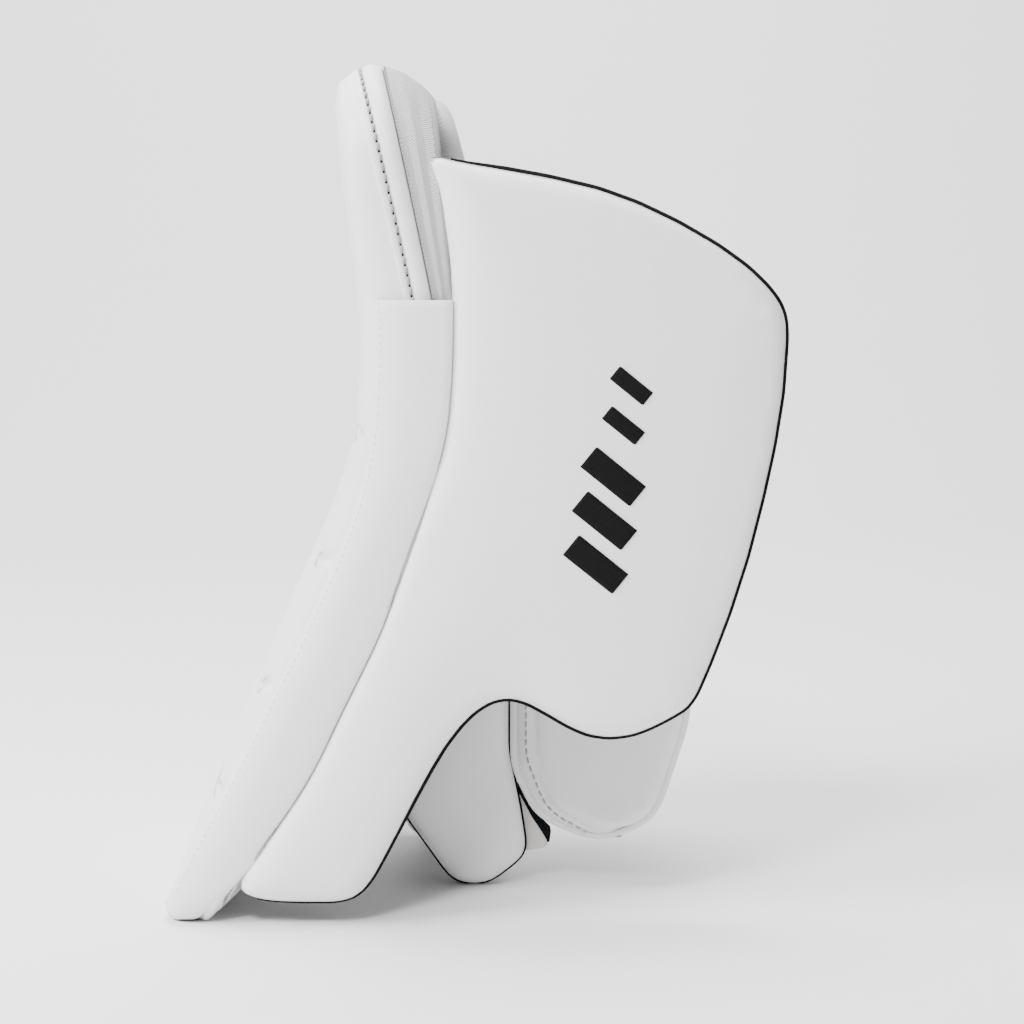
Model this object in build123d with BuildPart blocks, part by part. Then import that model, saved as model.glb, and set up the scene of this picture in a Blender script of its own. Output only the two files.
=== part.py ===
"""Ice hockey goalie blocker: a bent face board, a side board and a glove behind them.

It stands on its toe edge and on two finger guards, as it is set down on a bench.
+X runs from the face to the palm, +Y from the thumb side to the little finger, +Z up the forearm.
The origin is the centre of its footprint on the floor.  Millimetres.
"""

import os
from math import hypot

from build123d import *

# ---- board -------------------------------------------------------------------------------
TOE_TO_ORIGIN = 122.639  # from the toe's floor line back to the origin
BOARD_WIDTH = 203.0
BOARD_HEIGHT = 368.0
BOARD_Y = 4.15  # middle of the board
TOP_CORNER_RADIUS = 45.0
TOE_CORNER_RADIUS = 22.0
EDGE = 3.0  # width of the sewn edge around the foam
NEAR_Y = BOARD_Y - BOARD_WIDTH / 2  # thumb side of the board
FAR_Y = BOARD_Y + BOARD_WIDTH / 2  # little finger side

# the board's front and back lines: toe, bend and top, as (behind the toe, height)
FRONT_LINE = [(-12.8, 0.0), (84.6, 216.1), (63.9, 361.0)]
BACK_LINE = [(15.7, 0.0), (119.4, 201.4), (106.8, 355.0)]
FRONT_BEND_RADIUS = 218.0
BACK_BEND_RADIUS = 236.0
TOP_RIDGE = (84.3, BOARD_HEIGHT)
TOE_FLAT = [(-6.0, 0.0), (7.0, 0.0)]
TOE_CAP_HEIGHT = 14.0

# depths of the board's layers, as shares of its thickness from the front
FACE_SHARE = 0.06
FRONT_FOAM_SHARE = 0.46
STIFFENER_SHARE = 0.53
REAR_FOAM_SHARE = 0.95
WELT_SHARE = 0.36
TAPE_SHARE = 0.70
FOREARM_PAD_SHARE = 1.35
FACE_SEAMS = [EDGE, 92.0, 214.0, BOARD_HEIGHT - EDGE]
WRAP_THICKNESS = 1.0
WRAP_TOP = 269.0

# ---- side board --------------------------------------------------------------------------
SIDE_BOARD_THICKNESS = 14.0
SIDE_BOARD_OUTSIDE = 7.5  # how far it stands outside the board's edge
SIDE_RIM = 7.0  # depth of the cover's rim; the binding takes the rest
SIDE_STIFFENER = 2.0
BINDING_STEP = 1.6  # the binding stands this far outside the cover
SKIN = 1.5
THREAD = 0.8
SIDE_OUTER_Y = NEAR_Y - SIDE_BOARD_OUTSIDE
SIDE_INNER_Y = SIDE_OUTER_Y + SIDE_BOARD_THICKNESS
SIDE_CORNERS = [
    (80.0, 332.0, 0), (150.0, 323.0, 160), (205.0, 305.5, 120), (257.0, 272.0, 16),
    (251.5, 209.0, 200), (216.0, 91.5, 9), (182.0, 76.5, 22), (140.5, 105.5, 20),
    (113.0, 84.0, 40), (76.0, 9.8, 9), (0.0, 10.8, 0),
]  # fmt: skip

# ---- hand --------------------------------------------------------------------------------
HAND_Y = BOARD_Y + 6.0
HAND_Z = 118.0  # height on the board's back where the hand's own axes start
HAND_WIDTH = 84.0
THUMB_SIDE_Y = HAND_Y - HAND_WIDTH / 2
LITTLE_SIDE_Y = HAND_Y + HAND_WIDTH / 2
HAND_PAD = 34.0  # padding between the board and the back of the hand
POCKET = 28.0  # room for the hand's thickness
LEATHER = 2.5
GUSSET = 2.0
PALM = HAND_PAD + POCKET
FOREARM_PAD_WIDTH = 118.0

# ---- fingers -----------------------------------------------------------------------------
FINGERS = ["index", "middle", "ring", "little"]
FINGER_PITCH = 21.0
FINGER_WIDTH = 20.0
FINGER_DEPTH = 20.0
FINGER_BACK = 4.0
GRIP_CENTRE = (72.0, -38.0)  # centre of the stick's grip, in the hand's axes
GRIP_RADIUS = 18.0
FINGER_CURL = 150.0
FINGER_TIP = 8.0  # the closed tip, as degrees of curl

# ---- thumb -------------------------------------------------------------------------------
THUMB_BASE = (157.8, 109.9)  # behind the toe, height
THUMB_LENGTH = 72.0
THUMB_RADIUS = 11.0
THUMB_WALL = 3.0
THUMB_LEAN = (0.279, -0.960)
THUMB_GAP = 0.5  # between the hand and the thumb's near side
THUMB_Y = THUMB_SIDE_Y - THUMB_GAP

# ---- guards ------------------------------------------------------------------------------
GUARD_THICKNESS = 12.5
INDEX_GUARD_CORNERS = [
    (88.0, 106.0, 10), (90.0, 36.0, 16), (115.0, 0.0, 12), (131.0, 0.0, 10),
    (149.0, 14.0, 8), (145.5, 37.0, 20), (140.3, 62.0, 30), (140.3, 106.0, 10),
]  # fmt: skip
LITTLE_GUARD_CORNERS = [
    (82.0, 98.0, 8), (84.0, 34.0, 14), (106.0, 0.0, 10), (126.0, 0.0, 8),
    (134.0, 14.0, 8), (111.0, 33.0, 10), (102.0, 60.0, 20), (104.0, 98.0, 8),
]  # fmt: skip
THUMB_GUARD_CORNERS = [
    (142.0, 119.0, 16), (142.0, 55.0, 22), (153.0, 32.0, 18), (182.0, 19.5, 26),
    (207.0, 30.0, 20), (222.0, 76.0, 60), (222.0, 119.0, 22),
]  # fmt: skip

# ---- cuff --------------------------------------------------------------------------------
CUFF_BOTTOM = 172.0
CUFF_TOP = 284.0
CUFF_FRONT = 128.5
CUFF_BACK = 198.0
CUFF_WIDTH = 100.0
CUFF_PAD = 7.0
CUFF_LINING = 2.0
CUFF_CORNER = 18.0
CUFF_HINGE = 146.0  # distance behind the toe of the flap's hinge
SLIT = 4.0
STRAP_WIDTH = 38.0
STRAP_MIDDLE = 228.0
STRAP_THICKNESS = 2.4
STRAP_START = 36.0  # the strap's sewn end, from the middle of the hand
STRAP_END = -38.0
PATCH = 1.2
PATCH_LENGTH = 28.0


# the hand's own axes: square to the board's back below its bend, and up along it
rise = hypot(BACK_LINE[1][0] - BACK_LINE[0][0], BACK_LINE[1][1])
UP_BACK = ((BACK_LINE[1][0] - BACK_LINE[0][0]) / rise, BACK_LINE[1][1] / rise)
HAND_X = BACK_LINE[0][0] + HAND_Z * UP_BACK[0] / UP_BACK[1]


def side_plane(y):
    """The side view at y: its x is the distance behind the toe, its y the height."""
    return Plane(origin=(-TOE_TO_ORIGIN, y, 0), x_dir=(1, 0, 0), z_dir=(0, -1, 0))


def hand_plane(y):
    """The hand's own axes at y: x away from the board's back, y up along it."""
    x_dir = (UP_BACK[1], 0, -UP_BACK[0])
    return Plane(origin=(HAND_X - TOE_TO_ORIGIN, y, HAND_Z), x_dir=x_dir, z_dir=(0, -1, 0))


def thumb_plane(y):
    """The thumb's axes at y: x from its base to its tip, y towards its back."""
    origin = (THUMB_BASE[0] - TOE_TO_ORIGIN, y, THUMB_BASE[1])
    return Plane(origin=origin, x_dir=(THUMB_LEAN[0], 0, THUMB_LEAN[1]), z_dir=(0, -1, 0))


def write(piece, name):
    piece.part.label = name
    export_step(piece.part, f"parts/{name}.step")


# ---- shapes drawn inside a sketch ----------------------------------------------------------
def board_side(front_share, back_share):
    """The board's bent side between two shares of its thickness."""
    lines = []
    for share in (front_share, back_share):
        points = [
            (f[0] + (b[0] - f[0]) * share, f[1] + (b[1] - f[1]) * share)
            for f, b in zip(FRONT_LINE, BACK_LINE)
        ]
        radius = FRONT_BEND_RADIUS + (BACK_BEND_RADIUS - FRONT_BEND_RADIUS) * share
        lines.append((points, radius))
    with BuildLine() as outline:
        front = FilletPolyline(*lines[0][0], radius=lines[0][1])
        back = FilletPolyline(*lines[1][0], radius=lines[1][1])
        Polyline(front @ 1, (TOP_RIDGE[0], BOARD_HEIGHT + 8), back @ 1)
        Line(back @ 0, front @ 0)
    make_face(outline.edges())


def rounded(corners, inset=0.0):
    """A closed outline from (x, y, corner radius), drawn in by the inset."""
    with BuildLine() as outline:
        FilletPolyline(*[c[:2] for c in corners], radius=[c[2] for c in corners], close=True)
    make_face(outline.edges())
    if inset:
        offset(amount=-inset)


def side_board_outline(inset=0.0):
    """The side board: its outline behind the face board's back line."""
    rounded(SIDE_CORNERS)
    with BuildLine() as board_back:
        back = FilletPolyline(*BACK_LINE, radius=BACK_BEND_RADIUS)
        Polyline(back @ 1, (100, 420), (-80, 420), (-80, -40), (-4.9, -40), back @ 0)
    make_face(board_back.edges(), mode=Mode.SUBTRACT)
    if inset:
        offset(amount=-inset)


def curl_band(inner, outer, start, end):
    """A band round the stick's grip; 0 degrees is the knuckles and 90 the lowest point."""
    with BuildLine() as band:
        inside = CenterArc(GRIP_CENTRE, inner, 180 + start, end - start)
        outside = CenterArc(GRIP_CENTRE, outer, 180 + start, end - start)
        Line(inside @ 0, outside @ 0)
        Line(inside @ 1, outside @ 1)
    make_face(band.edges())


def box_between(low, high):
    """A rectangle from its low corner to its high corner."""
    with Locations(((low[0] + high[0]) / 2, (low[1] + high[1]) / 2)):
        Rectangle(high[0] - low[0], high[1] - low[1])


# ---- solids --------------------------------------------------------------------------------
def board_layer(front_share, back_share, inset, low=0.0, high=BOARD_HEIGHT):
    """A layer of the bent board, trimmed to the board's rounded outline."""
    ends = [
        (-40, 60),
        (-18, 10 + inset),
        (TOE_FLAT[0][0], inset),
        (TOE_FLAT[1][0], inset),
        (24, 16 + inset),
        (160, 60),
        (160, 300),
        (BACK_LINE[2][0] + 1, BACK_LINE[2][1] - inset),
        (TOP_RIDGE[0], TOP_RIDGE[1] - inset),
        (FRONT_LINE[2][0] - 1, FRONT_LINE[2][1] - inset),
        (-40, 300),
    ]
    with BuildPart() as layer:
        with BuildSketch(side_plane(FAR_Y)):
            board_side(front_share, back_share)
        extrude(amount=BOARD_WIDTH)
        with BuildSketch(Plane.YZ.offset(-TOE_TO_ORIGIN - 20)) as outline:
            with Locations((BOARD_Y, BOARD_HEIGHT / 2)):
                Rectangle(BOARD_WIDTH - 2 * inset, BOARD_HEIGHT - 2 * inset)
            fillet(outline.vertices().group_by(Axis.Y)[-1], TOP_CORNER_RADIUS - inset)
            fillet(outline.vertices().group_by(Axis.Y)[0], TOE_CORNER_RADIUS - inset)
        extrude(amount=180, mode=Mode.INTERSECT)
        with BuildSketch(side_plane(FAR_Y + 1)):
            with BuildLine():
                Polyline(*ends, close=True)
            make_face()
        extrude(amount=BOARD_WIDTH + 2, mode=Mode.INTERSECT)
        with BuildSketch(Plane.XY.offset(low)):
            Rectangle(500, 500)
        extrude(amount=high - low, mode=Mode.INTERSECT)
    return layer


def board_edge(front_share, back_share, low, high):
    """Part of the sewn edge that runs round the board's foam."""
    outer = board_layer(front_share, back_share, 0.0, low, high)
    core = board_layer(front_share - 0.05, back_share + 0.05, EDGE, low - 1, high + 1)
    with BuildPart() as edge:
        add(outer.part)
        add(core.part, mode=Mode.SUBTRACT)
    return edge


def plate(draw, outer_y, inner_y):
    """A flat plate in the side view, from its outer to its inner face."""
    with BuildPart() as piece:
        with BuildSketch(side_plane(outer_y)):
            draw()
        extrude(amount=outer_y - inner_y)
    return piece


def pan(outline, outer_y, inner_y, inset=0.0):
    """A cover: its face on the outside and a rim round the foam, open towards the inside."""
    step = SKIN if inner_y > outer_y else -SKIN
    with BuildPart() as cover:
        with BuildSketch(side_plane(outer_y)):
            outline(inset)
        extrude(amount=outer_y - inner_y)
        fillet(cover.faces().sort_by(Axis.Y)[0 if step > 0 else -1].edges(), 1.2)
        with BuildSketch(side_plane(outer_y + step)):
            outline(inset + SKIN)
        extrude(amount=outer_y + step - inner_y, mode=Mode.SUBTRACT)
    return cover


def guard(name, corners, inner_y, outer_y):
    """A finger guard: cover, foam and the lining on the hand's side."""
    step = SKIN if inner_y > outer_y else -SKIN
    lining_y = inner_y - step

    def outline(inset=0.0):
        rounded(corners, inset)

    write(pan(outline, outer_y, lining_y), f"{name}_cover")
    write(plate(lambda: outline(SKIN), outer_y + step, lining_y), f"{name}_foam")
    write(plate(outline, lining_y, inner_y), f"{name}_lining")


def cuff_shell(outer, inner, low, high, flap):
    """A wall of the cuff between two depths; the flap is its half on the little finger side."""
    middle = ((CUFF_FRONT + CUFF_BACK) / 2 - TOE_TO_ORIGIN, HAND_Y)
    depth = CUFF_BACK - CUFF_FRONT
    with BuildPart() as wall:
        with BuildSketch(Plane.XY.offset(low)):
            with Locations(middle):
                RectangleRounded(depth - 2 * outer, CUFF_WIDTH - 2 * outer, CUFF_CORNER - outer)
                RectangleRounded(
                    depth - 2 * inner, CUFF_WIDTH - 2 * inner, CUFF_CORNER - inner, mode=Mode.SUBTRACT
                )
        extrude(amount=high - low)
        gap = SLIT / 2 if flap else -SLIT / 2
        corner = (CUFF_HINGE - TOE_TO_ORIGIN + gap, HAND_Y + gap)
        with BuildSketch(Plane.XY.offset(low - 1)):
            box_between(corner, (corner[0] + 200, corner[1] + 200))
        extrude(amount=high - low + 2, mode=Mode.INTERSECT if flap else Mode.SUBTRACT)
    return wall


def back_of_cuff(start, end, near_x, thickness, width):
    """A flat piece on the cuff's back, from start to end across the hand."""
    with BuildPart() as piece:
        with BuildSketch(Plane.YZ.offset(near_x - TOE_TO_ORIGIN)):
            with Locations((HAND_Y + (start + end) / 2, STRAP_MIDDLE)):
                RectangleRounded(abs(end - start), width, 4)
        extrude(amount=thickness)
    return piece


os.makedirs("parts", exist_ok=True)

# ---- face board --------------------------------------------------------------------------
foam_layers = {
    "front_foam": (FACE_SHARE, FRONT_FOAM_SHARE),
    "board_stiffener": (FRONT_FOAM_SHARE, STIFFENER_SHARE),
    "rear_foam": (STIFFENER_SHARE, REAR_FOAM_SHARE),
    "rear_cover": (REAR_FOAM_SHARE, 1.0),
}
for name, shares in foam_layers.items():
    write(board_layer(*shares, EDGE), name)

for name, low, high in zip(["lower", "middle", "upper"], FACE_SEAMS, FACE_SEAMS[1:]):
    write(board_layer(0.0, FACE_SHARE, EDGE, low, high), f"face_panel_{name}")

write(board_edge(0.0, WELT_SHARE, TOE_CAP_HEIGHT, BOARD_HEIGHT), "edge_cover")
write(board_edge(WELT_SHARE, TAPE_SHARE, TOE_CAP_HEIGHT, BOARD_HEIGHT), "edge_welt")
write(board_edge(TAPE_SHARE, 1.0, TOE_CAP_HEIGHT, BOARD_HEIGHT), "edge_tape")
write(board_edge(0.0, 1.0, 0.0, TOE_CAP_HEIGHT), "toe_cap")

with BuildPart() as side_wrap:
    with BuildSketch(side_plane(NEAR_Y)):
        board_side(0.14, 0.96)
    extrude(amount=WRAP_THICKNESS)
    with BuildSketch(Plane.XY.offset(TOE_CORNER_RADIUS + 2)):
        Rectangle(500, 500)
    extrude(amount=WRAP_TOP - TOE_CORNER_RADIUS - 2, mode=Mode.INTERSECT)
write(side_wrap, "side_wrap")

# the pad between the forearm and the top of the board
with BuildPart() as forearm_pad:
    add(board_layer(1.0, FOREARM_PAD_SHARE, EDGE, 158.0, BOARD_HEIGHT).part)
    with BuildSketch(Plane.YZ.offset(-TOE_TO_ORIGIN)) as pad_outline:
        with Locations((HAND_Y, 200)):
            RectangleRounded(FOREARM_PAD_WIDTH, 330, 30)
    extrude(amount=200, mode=Mode.INTERSECT)
write(forearm_pad, "forearm_pad")

# ---- side board --------------------------------------------------------------------------
rim_y = SIDE_OUTER_Y + SIDE_RIM
lining_y = SIDE_INNER_Y - SKIN
stiffener_y = SIDE_OUTER_Y + (SIDE_BOARD_THICKNESS - SIDE_STIFFENER) / 2
core_inset = BINDING_STEP + SKIN
write(pan(side_board_outline, SIDE_OUTER_Y, rim_y, BINDING_STEP), "side_cover")
side_layers = {
    "side_foam_outer": (SIDE_OUTER_Y + SKIN, stiffener_y),
    "side_stiffener": (stiffener_y, stiffener_y + SIDE_STIFFENER),
    "side_foam_inner": (stiffener_y + SIDE_STIFFENER, lining_y),
    "side_lining": (lining_y, SIDE_INNER_Y),
}
for name, (outer_y, inner_y) in side_layers.items():
    write(plate(lambda: side_board_outline(core_inset), outer_y, inner_y), name)

with BuildPart() as side_binding:
    with BuildSketch(side_plane(rim_y)):
        side_board_outline()
    extrude(amount=rim_y - SIDE_INNER_Y)
    with BuildSketch(side_plane(rim_y)):
        side_board_outline(core_inset)
    extrude(amount=rim_y - SIDE_INNER_Y, mode=Mode.SUBTRACT)
write(side_binding, "side_binding")

# a plain embroidered mark: three broad slanted bars and two short ones, on a spine
with BuildPart() as side_mark:
    with BuildSketch(side_plane(SIDE_OUTER_Y)):
        with Locations(Location((182, 198), 79)):
            with Locations((-2.5, 0)):
                Rectangle(77, 3.5)
            with Locations(*[Location((along, 0), 62) for along in (-41, -22, -3)]):
                Rectangle(27, 11)
            with Locations(*[Location((along, 0), 62) for along in (19, 36)]):
                Rectangle(18, 7)
    extrude(amount=THREAD)
write(side_mark, "side_mark")

# ---- hand ----------------------------------------------------------------------------------
with BuildPart() as backhand_pad:
    with BuildSketch(hand_plane(LITTLE_SIDE_Y)):
        with BuildLine():
            FilletPolyline(
                (0, 26), (HAND_PAD, 44), (HAND_PAD, -36), (6, -80), (0, -80), radius=[0, 8, 12, 3, 0], close=True
            )
        make_face()
    extrude(amount=HAND_WIDTH)
write(backhand_pad, "backhand_pad")

with BuildPart() as palm_leather:
    with BuildSketch(hand_plane(LITTLE_SIDE_Y)):
        with BuildLine():
            Polyline(
                (76.2, 99.9), (PALM, 46), (PALM, -16), (54.5, -33), (57.3, -34),
                (PALM + LEATHER, -17), (PALM + LEATHER, 45), (83.3, 103.6), close=True,
            )  # fmt: skip
        make_face()
    extrude(amount=HAND_WIDTH)
    # the hole the thumb goes out through
    with BuildSketch(hand_plane(THUMB_SIDE_Y + 24)):
        box_between((PALM - 1, 18), (PALM + LEATHER + 1, 42))
    extrude(amount=24 - GUSSET, mode=Mode.SUBTRACT)
write(palm_leather, "palm_leather")

for name, far_y in (("thumb_side", THUMB_SIDE_Y + GUSSET), ("little_side", LITTLE_SIDE_Y)):
    with BuildPart() as side_gusset:
        with BuildSketch(hand_plane(far_y)):
            with BuildLine():
                Polyline((HAND_PAD, -30), (HAND_PAD, 36), (PALM, 46), (PALM, -16), (55.8, -30), close=True)
            make_face()
        extrude(amount=GUSSET)
    write(side_gusset, f"{name}_gusset")

# ---- fingers -------------------------------------------------------------------------------
outer_radius = GRIP_RADIUS + FINGER_DEPTH
back_radius = outer_radius - FINGER_BACK
palm_radius = GRIP_RADIUS + LEATHER
for index, name in enumerate(FINGERS):
    far_y = HAND_Y + (index - 1.5) * FINGER_PITCH + FINGER_WIDTH / 2

    # the padded back closes the tip
    with BuildPart() as finger_back:
        with BuildSketch(hand_plane(far_y)):
            curl_band(back_radius, outer_radius, 0, FINGER_CURL)
            curl_band(palm_radius, back_radius, FINGER_CURL - FINGER_TIP, FINGER_CURL)
        extrude(amount=FINGER_WIDTH)
        long_edges = finger_back.edges().filter_by(
            lambda e: e.geom_type == GeomType.CIRCLE and abs(e.radius - outer_radius) < 0.01
        )
        fillet(long_edges, 3)
    write(finger_back, f"{name}_finger_back")

    # the palm leather turns up at both sides
    with BuildPart() as finger_palm:
        with BuildSketch(hand_plane(far_y)):
            curl_band(GRIP_RADIUS, back_radius, 0, FINGER_CURL - FINGER_TIP)
            curl_band(GRIP_RADIUS, palm_radius, FINGER_CURL - FINGER_TIP, FINGER_CURL)
        extrude(amount=FINGER_WIDTH)
        with BuildSketch(hand_plane(far_y - GUSSET)):
            curl_band(palm_radius, back_radius, 0, FINGER_CURL - FINGER_TIP)
        extrude(amount=FINGER_WIDTH - 2 * GUSSET, mode=Mode.SUBTRACT)
    write(finger_palm, f"{name}_finger_palm")

# ---- thumb -----------------------------------------------------------------------------------
thumb_far_y = THUMB_Y + 2 * THUMB_RADIUS
tip_x = THUMB_LENGTH + THUMB_RADIUS + 1
palm_side = ((12, -THUMB_RADIUS - 1), (tip_x, 0))
way_in = ((-THUMB_RADIUS - 1, -THUMB_RADIUS - 1), (12, -3))
for name, mode in (("thumb_back", Mode.SUBTRACT), ("thumb_palm", Mode.INTERSECT)):
    with BuildPart() as thumb:
        with BuildSketch(thumb_plane(thumb_far_y)):
            with Locations((THUMB_LENGTH / 2, 0)):
                SlotCenterToCenter(THUMB_LENGTH, 2 * THUMB_RADIUS)
        extrude(amount=2 * THUMB_RADIUS)
        with BuildSketch(thumb_plane(thumb_far_y - THUMB_WALL)):
            with Locations((THUMB_LENGTH / 2, 0)):
                SlotCenterToCenter(THUMB_LENGTH, 2 * (THUMB_RADIUS - THUMB_WALL))
        extrude(amount=2 * (THUMB_RADIUS - THUMB_WALL), mode=Mode.SUBTRACT)
        with BuildSketch(thumb_plane(thumb_far_y + 1)):
            box_between(*palm_side)
            if mode == Mode.SUBTRACT:
                box_between(*way_in)
        extrude(amount=2 * THUMB_RADIUS + 2, mode=mode)
    write(thumb, name)

# ---- guards --------------------------------------------------------------------------------
guard("index_guard", INDEX_GUARD_CORNERS, THUMB_SIDE_Y, THUMB_SIDE_Y - GUARD_THICKNESS)
guard("little_guard", LITTLE_GUARD_CORNERS, LITTLE_SIDE_Y, LITTLE_SIDE_Y + GUARD_THICKNESS)
guard("thumb_guard", THUMB_GUARD_CORNERS, THUMB_Y, THUMB_Y - GUARD_THICKNESS)

# ---- cuff ----------------------------------------------------------------------------------
for name, flap in (("cuff", False), ("cuff_flap", True)):
    write(cuff_shell(0.0, CUFF_PAD, CUFF_BOTTOM, CUFF_TOP, flap), f"{name}_pad")
    write(cuff_shell(CUFF_PAD, CUFF_PAD + CUFF_LINING, CUFF_BOTTOM, CUFF_TOP, flap), f"{name}_lining")

strap_x = CUFF_BACK + 2 * PATCH + 0.4
write(back_of_cuff(STRAP_START + 8, STRAP_START - 8, CUFF_BACK, strap_x - CUFF_BACK - 0.4, STRAP_WIDTH - 4),
      "strap_anchor")
write(back_of_cuff(STRAP_START + 6, STRAP_END, strap_x, STRAP_THICKNESS, STRAP_WIDTH), "wrist_strap")
write(back_of_cuff(STRAP_END + 4, STRAP_END + PATCH_LENGTH, CUFF_BACK, PATCH, STRAP_WIDTH - 4), "loop_patch")
write(back_of_cuff(STRAP_END + 4, STRAP_END + PATCH_LENGTH, strap_x - PATCH, PATCH, STRAP_WIDTH - 4),
      "hook_patch")
write(back_of_cuff(STRAP_END + 6, STRAP_END + 20, strap_x + STRAP_THICKNESS, 1.5, STRAP_WIDTH - 12),
      "pull_tab")
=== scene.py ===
"""Goalie blocker: the looks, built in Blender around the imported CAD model.

Lengths are in millimetres here and go to metres when a mesh is made.
"""

import math

import bpy
import numpy as np
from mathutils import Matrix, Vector
from mathutils.bvhtree import BVHTree
from mathutils.geometry import delaunay_2d_cdt


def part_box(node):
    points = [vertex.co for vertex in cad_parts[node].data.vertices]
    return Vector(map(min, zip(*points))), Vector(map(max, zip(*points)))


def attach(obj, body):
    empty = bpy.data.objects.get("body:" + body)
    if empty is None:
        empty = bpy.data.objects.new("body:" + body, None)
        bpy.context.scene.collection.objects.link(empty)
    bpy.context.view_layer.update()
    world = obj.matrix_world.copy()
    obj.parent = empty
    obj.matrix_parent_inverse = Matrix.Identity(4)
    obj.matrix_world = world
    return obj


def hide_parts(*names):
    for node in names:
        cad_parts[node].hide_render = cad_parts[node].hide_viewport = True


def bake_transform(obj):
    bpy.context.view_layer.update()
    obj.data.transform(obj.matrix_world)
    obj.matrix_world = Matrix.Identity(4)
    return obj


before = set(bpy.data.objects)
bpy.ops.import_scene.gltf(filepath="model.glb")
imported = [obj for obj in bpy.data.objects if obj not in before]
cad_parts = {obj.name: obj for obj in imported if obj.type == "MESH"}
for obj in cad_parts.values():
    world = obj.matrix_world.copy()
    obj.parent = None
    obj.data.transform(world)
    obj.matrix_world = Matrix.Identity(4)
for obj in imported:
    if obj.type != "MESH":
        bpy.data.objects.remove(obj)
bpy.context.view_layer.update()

MM = 0.001
rng = np.random.default_rng(7)


def mm_box(node):
    low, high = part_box(node)
    return np.array(low) / MM, np.array(high) / MM


# ---- the frame's measures ---------------------------------------------------------------
TOE = 122.639  # from the toe's floor line to the frame's origin
NEAR_Y, FAR_Y = mm_box("edge_tape")[0][1], mm_box("edge_tape")[1][1]
BOARD_Y, HALF_BOARD = (NEAR_Y + FAR_Y) / 2, (FAR_Y - NEAR_Y) / 2
BOARD_TOP = 368.0
SIDE_OUT = mm_box("side_cover")[0][1]
SIDE_RIM = mm_box("side_binding")[0][1]
SIDE_IN = mm_box("side_lining")[1][1]
HAND_Y = (mm_box("palm_leather")[0][1] + mm_box("palm_leather")[1][1]) / 2
THUMB_SIDE, LITTLE_SIDE = mm_box("backhand_pad")[0][1], mm_box("backhand_pad")[1][1]
FRONT_LINE = np.array([(-12.8, 0.0), (84.6, 216.1), (63.9, 361.0)])
BACK_LINE = np.array([(15.7, 0.0), (119.4, 201.4), (106.8, 355.0)])
WRAP_TOP = mm_box("side_wrap")[1][2]

rise = math.hypot(*(BACK_LINE[1] - BACK_LINE[0]))
UP = (BACK_LINE[1] - BACK_LINE[0]) / rise
HAND_Z = 118.0
HAND_X = BACK_LINE[0][0] + HAND_Z * UP[0] / UP[1]


def board_x(share, z):
    """Distance behind the toe of the board's bent side at a share of its depth and a height."""
    share, z = np.broadcast_arrays(np.asarray(share, float), np.asarray(z, float))
    p = FRONT_LINE + (BACK_LINE - FRONT_LINE) * share[..., None, None]
    r = 218.0 + 18.0 * share
    toe, bend, top = p[..., 0, :], p[..., 1, :], p[..., 2, :]
    d1, d2 = bend - toe, top - bend
    d1 = d1 / np.linalg.norm(d1, axis=-1, keepdims=True)
    d2 = d2 / np.linalg.norm(d2, axis=-1, keepdims=True)
    turn = np.arccos(np.clip((d1 * d2).sum(-1), -1, 1))
    t = r * np.tan(turn / 2)
    start, end = bend - d1 * t[..., None], bend + d2 * t[..., None]
    cx, cz = start[..., 0] - d1[..., 1] * r, start[..., 1] + d1[..., 0] * r
    low = toe[..., 0] + (z - toe[..., 1]) * d1[..., 0] / d1[..., 1]
    high = end[..., 0] + (z - end[..., 1]) * d2[..., 0] / d2[..., 1]
    arc = cx + np.sqrt(np.maximum(r * r - (z - cz) ** 2, 0))
    return np.where(z < start[..., 1], low, np.where(z > end[..., 1], high, arc))


def board_point(y, z, share, out=0.0):
    """A point of the board: y, z in its flat outline, then its share of the depth."""
    y, z, share = np.broadcast_arrays(*(np.asarray(v, float) for v in (y, z, share)))
    s = np.clip(share, 0, 1)
    top = BOARD_TOP - np.where(s < 0.47, 7 * ((0.47 - s) / 0.47) ** 2, 13 * ((s - 0.47) / 0.53) ** 2)
    low = np.where(s < 0.24, 4 * ((0.24 - s) / 0.24) ** 2, 15.9 * (np.maximum(s - 0.69, 0) / 0.31) ** 1.3)
    height = low + z / BOARD_TOP * (top - low)
    return np.stack([board_x(share, height) - TOE, y, height], -1)


def seam_share(share, z):
    """Where the edge strips lie: their seams lean forward towards the top of the board."""
    shift = np.clip(0.097 - 0.0028 * (np.asarray(z, float) - 269.0), -0.18, 0.097)
    share = np.asarray(share, float)
    return share + shift * np.clip(share / 0.25, 0, 1) * np.clip((1 - share) / 0.22, 0, 1)


def hand(n, v):
    """The hand's axes, square to the board's back and up along it, as x and z."""
    n, v = np.asarray(n, float), np.asarray(v, float)
    return HAND_X + n * UP[1] + v * UP[0] - TOE, HAND_Z - n * UP[0] + v * UP[1]


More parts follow.
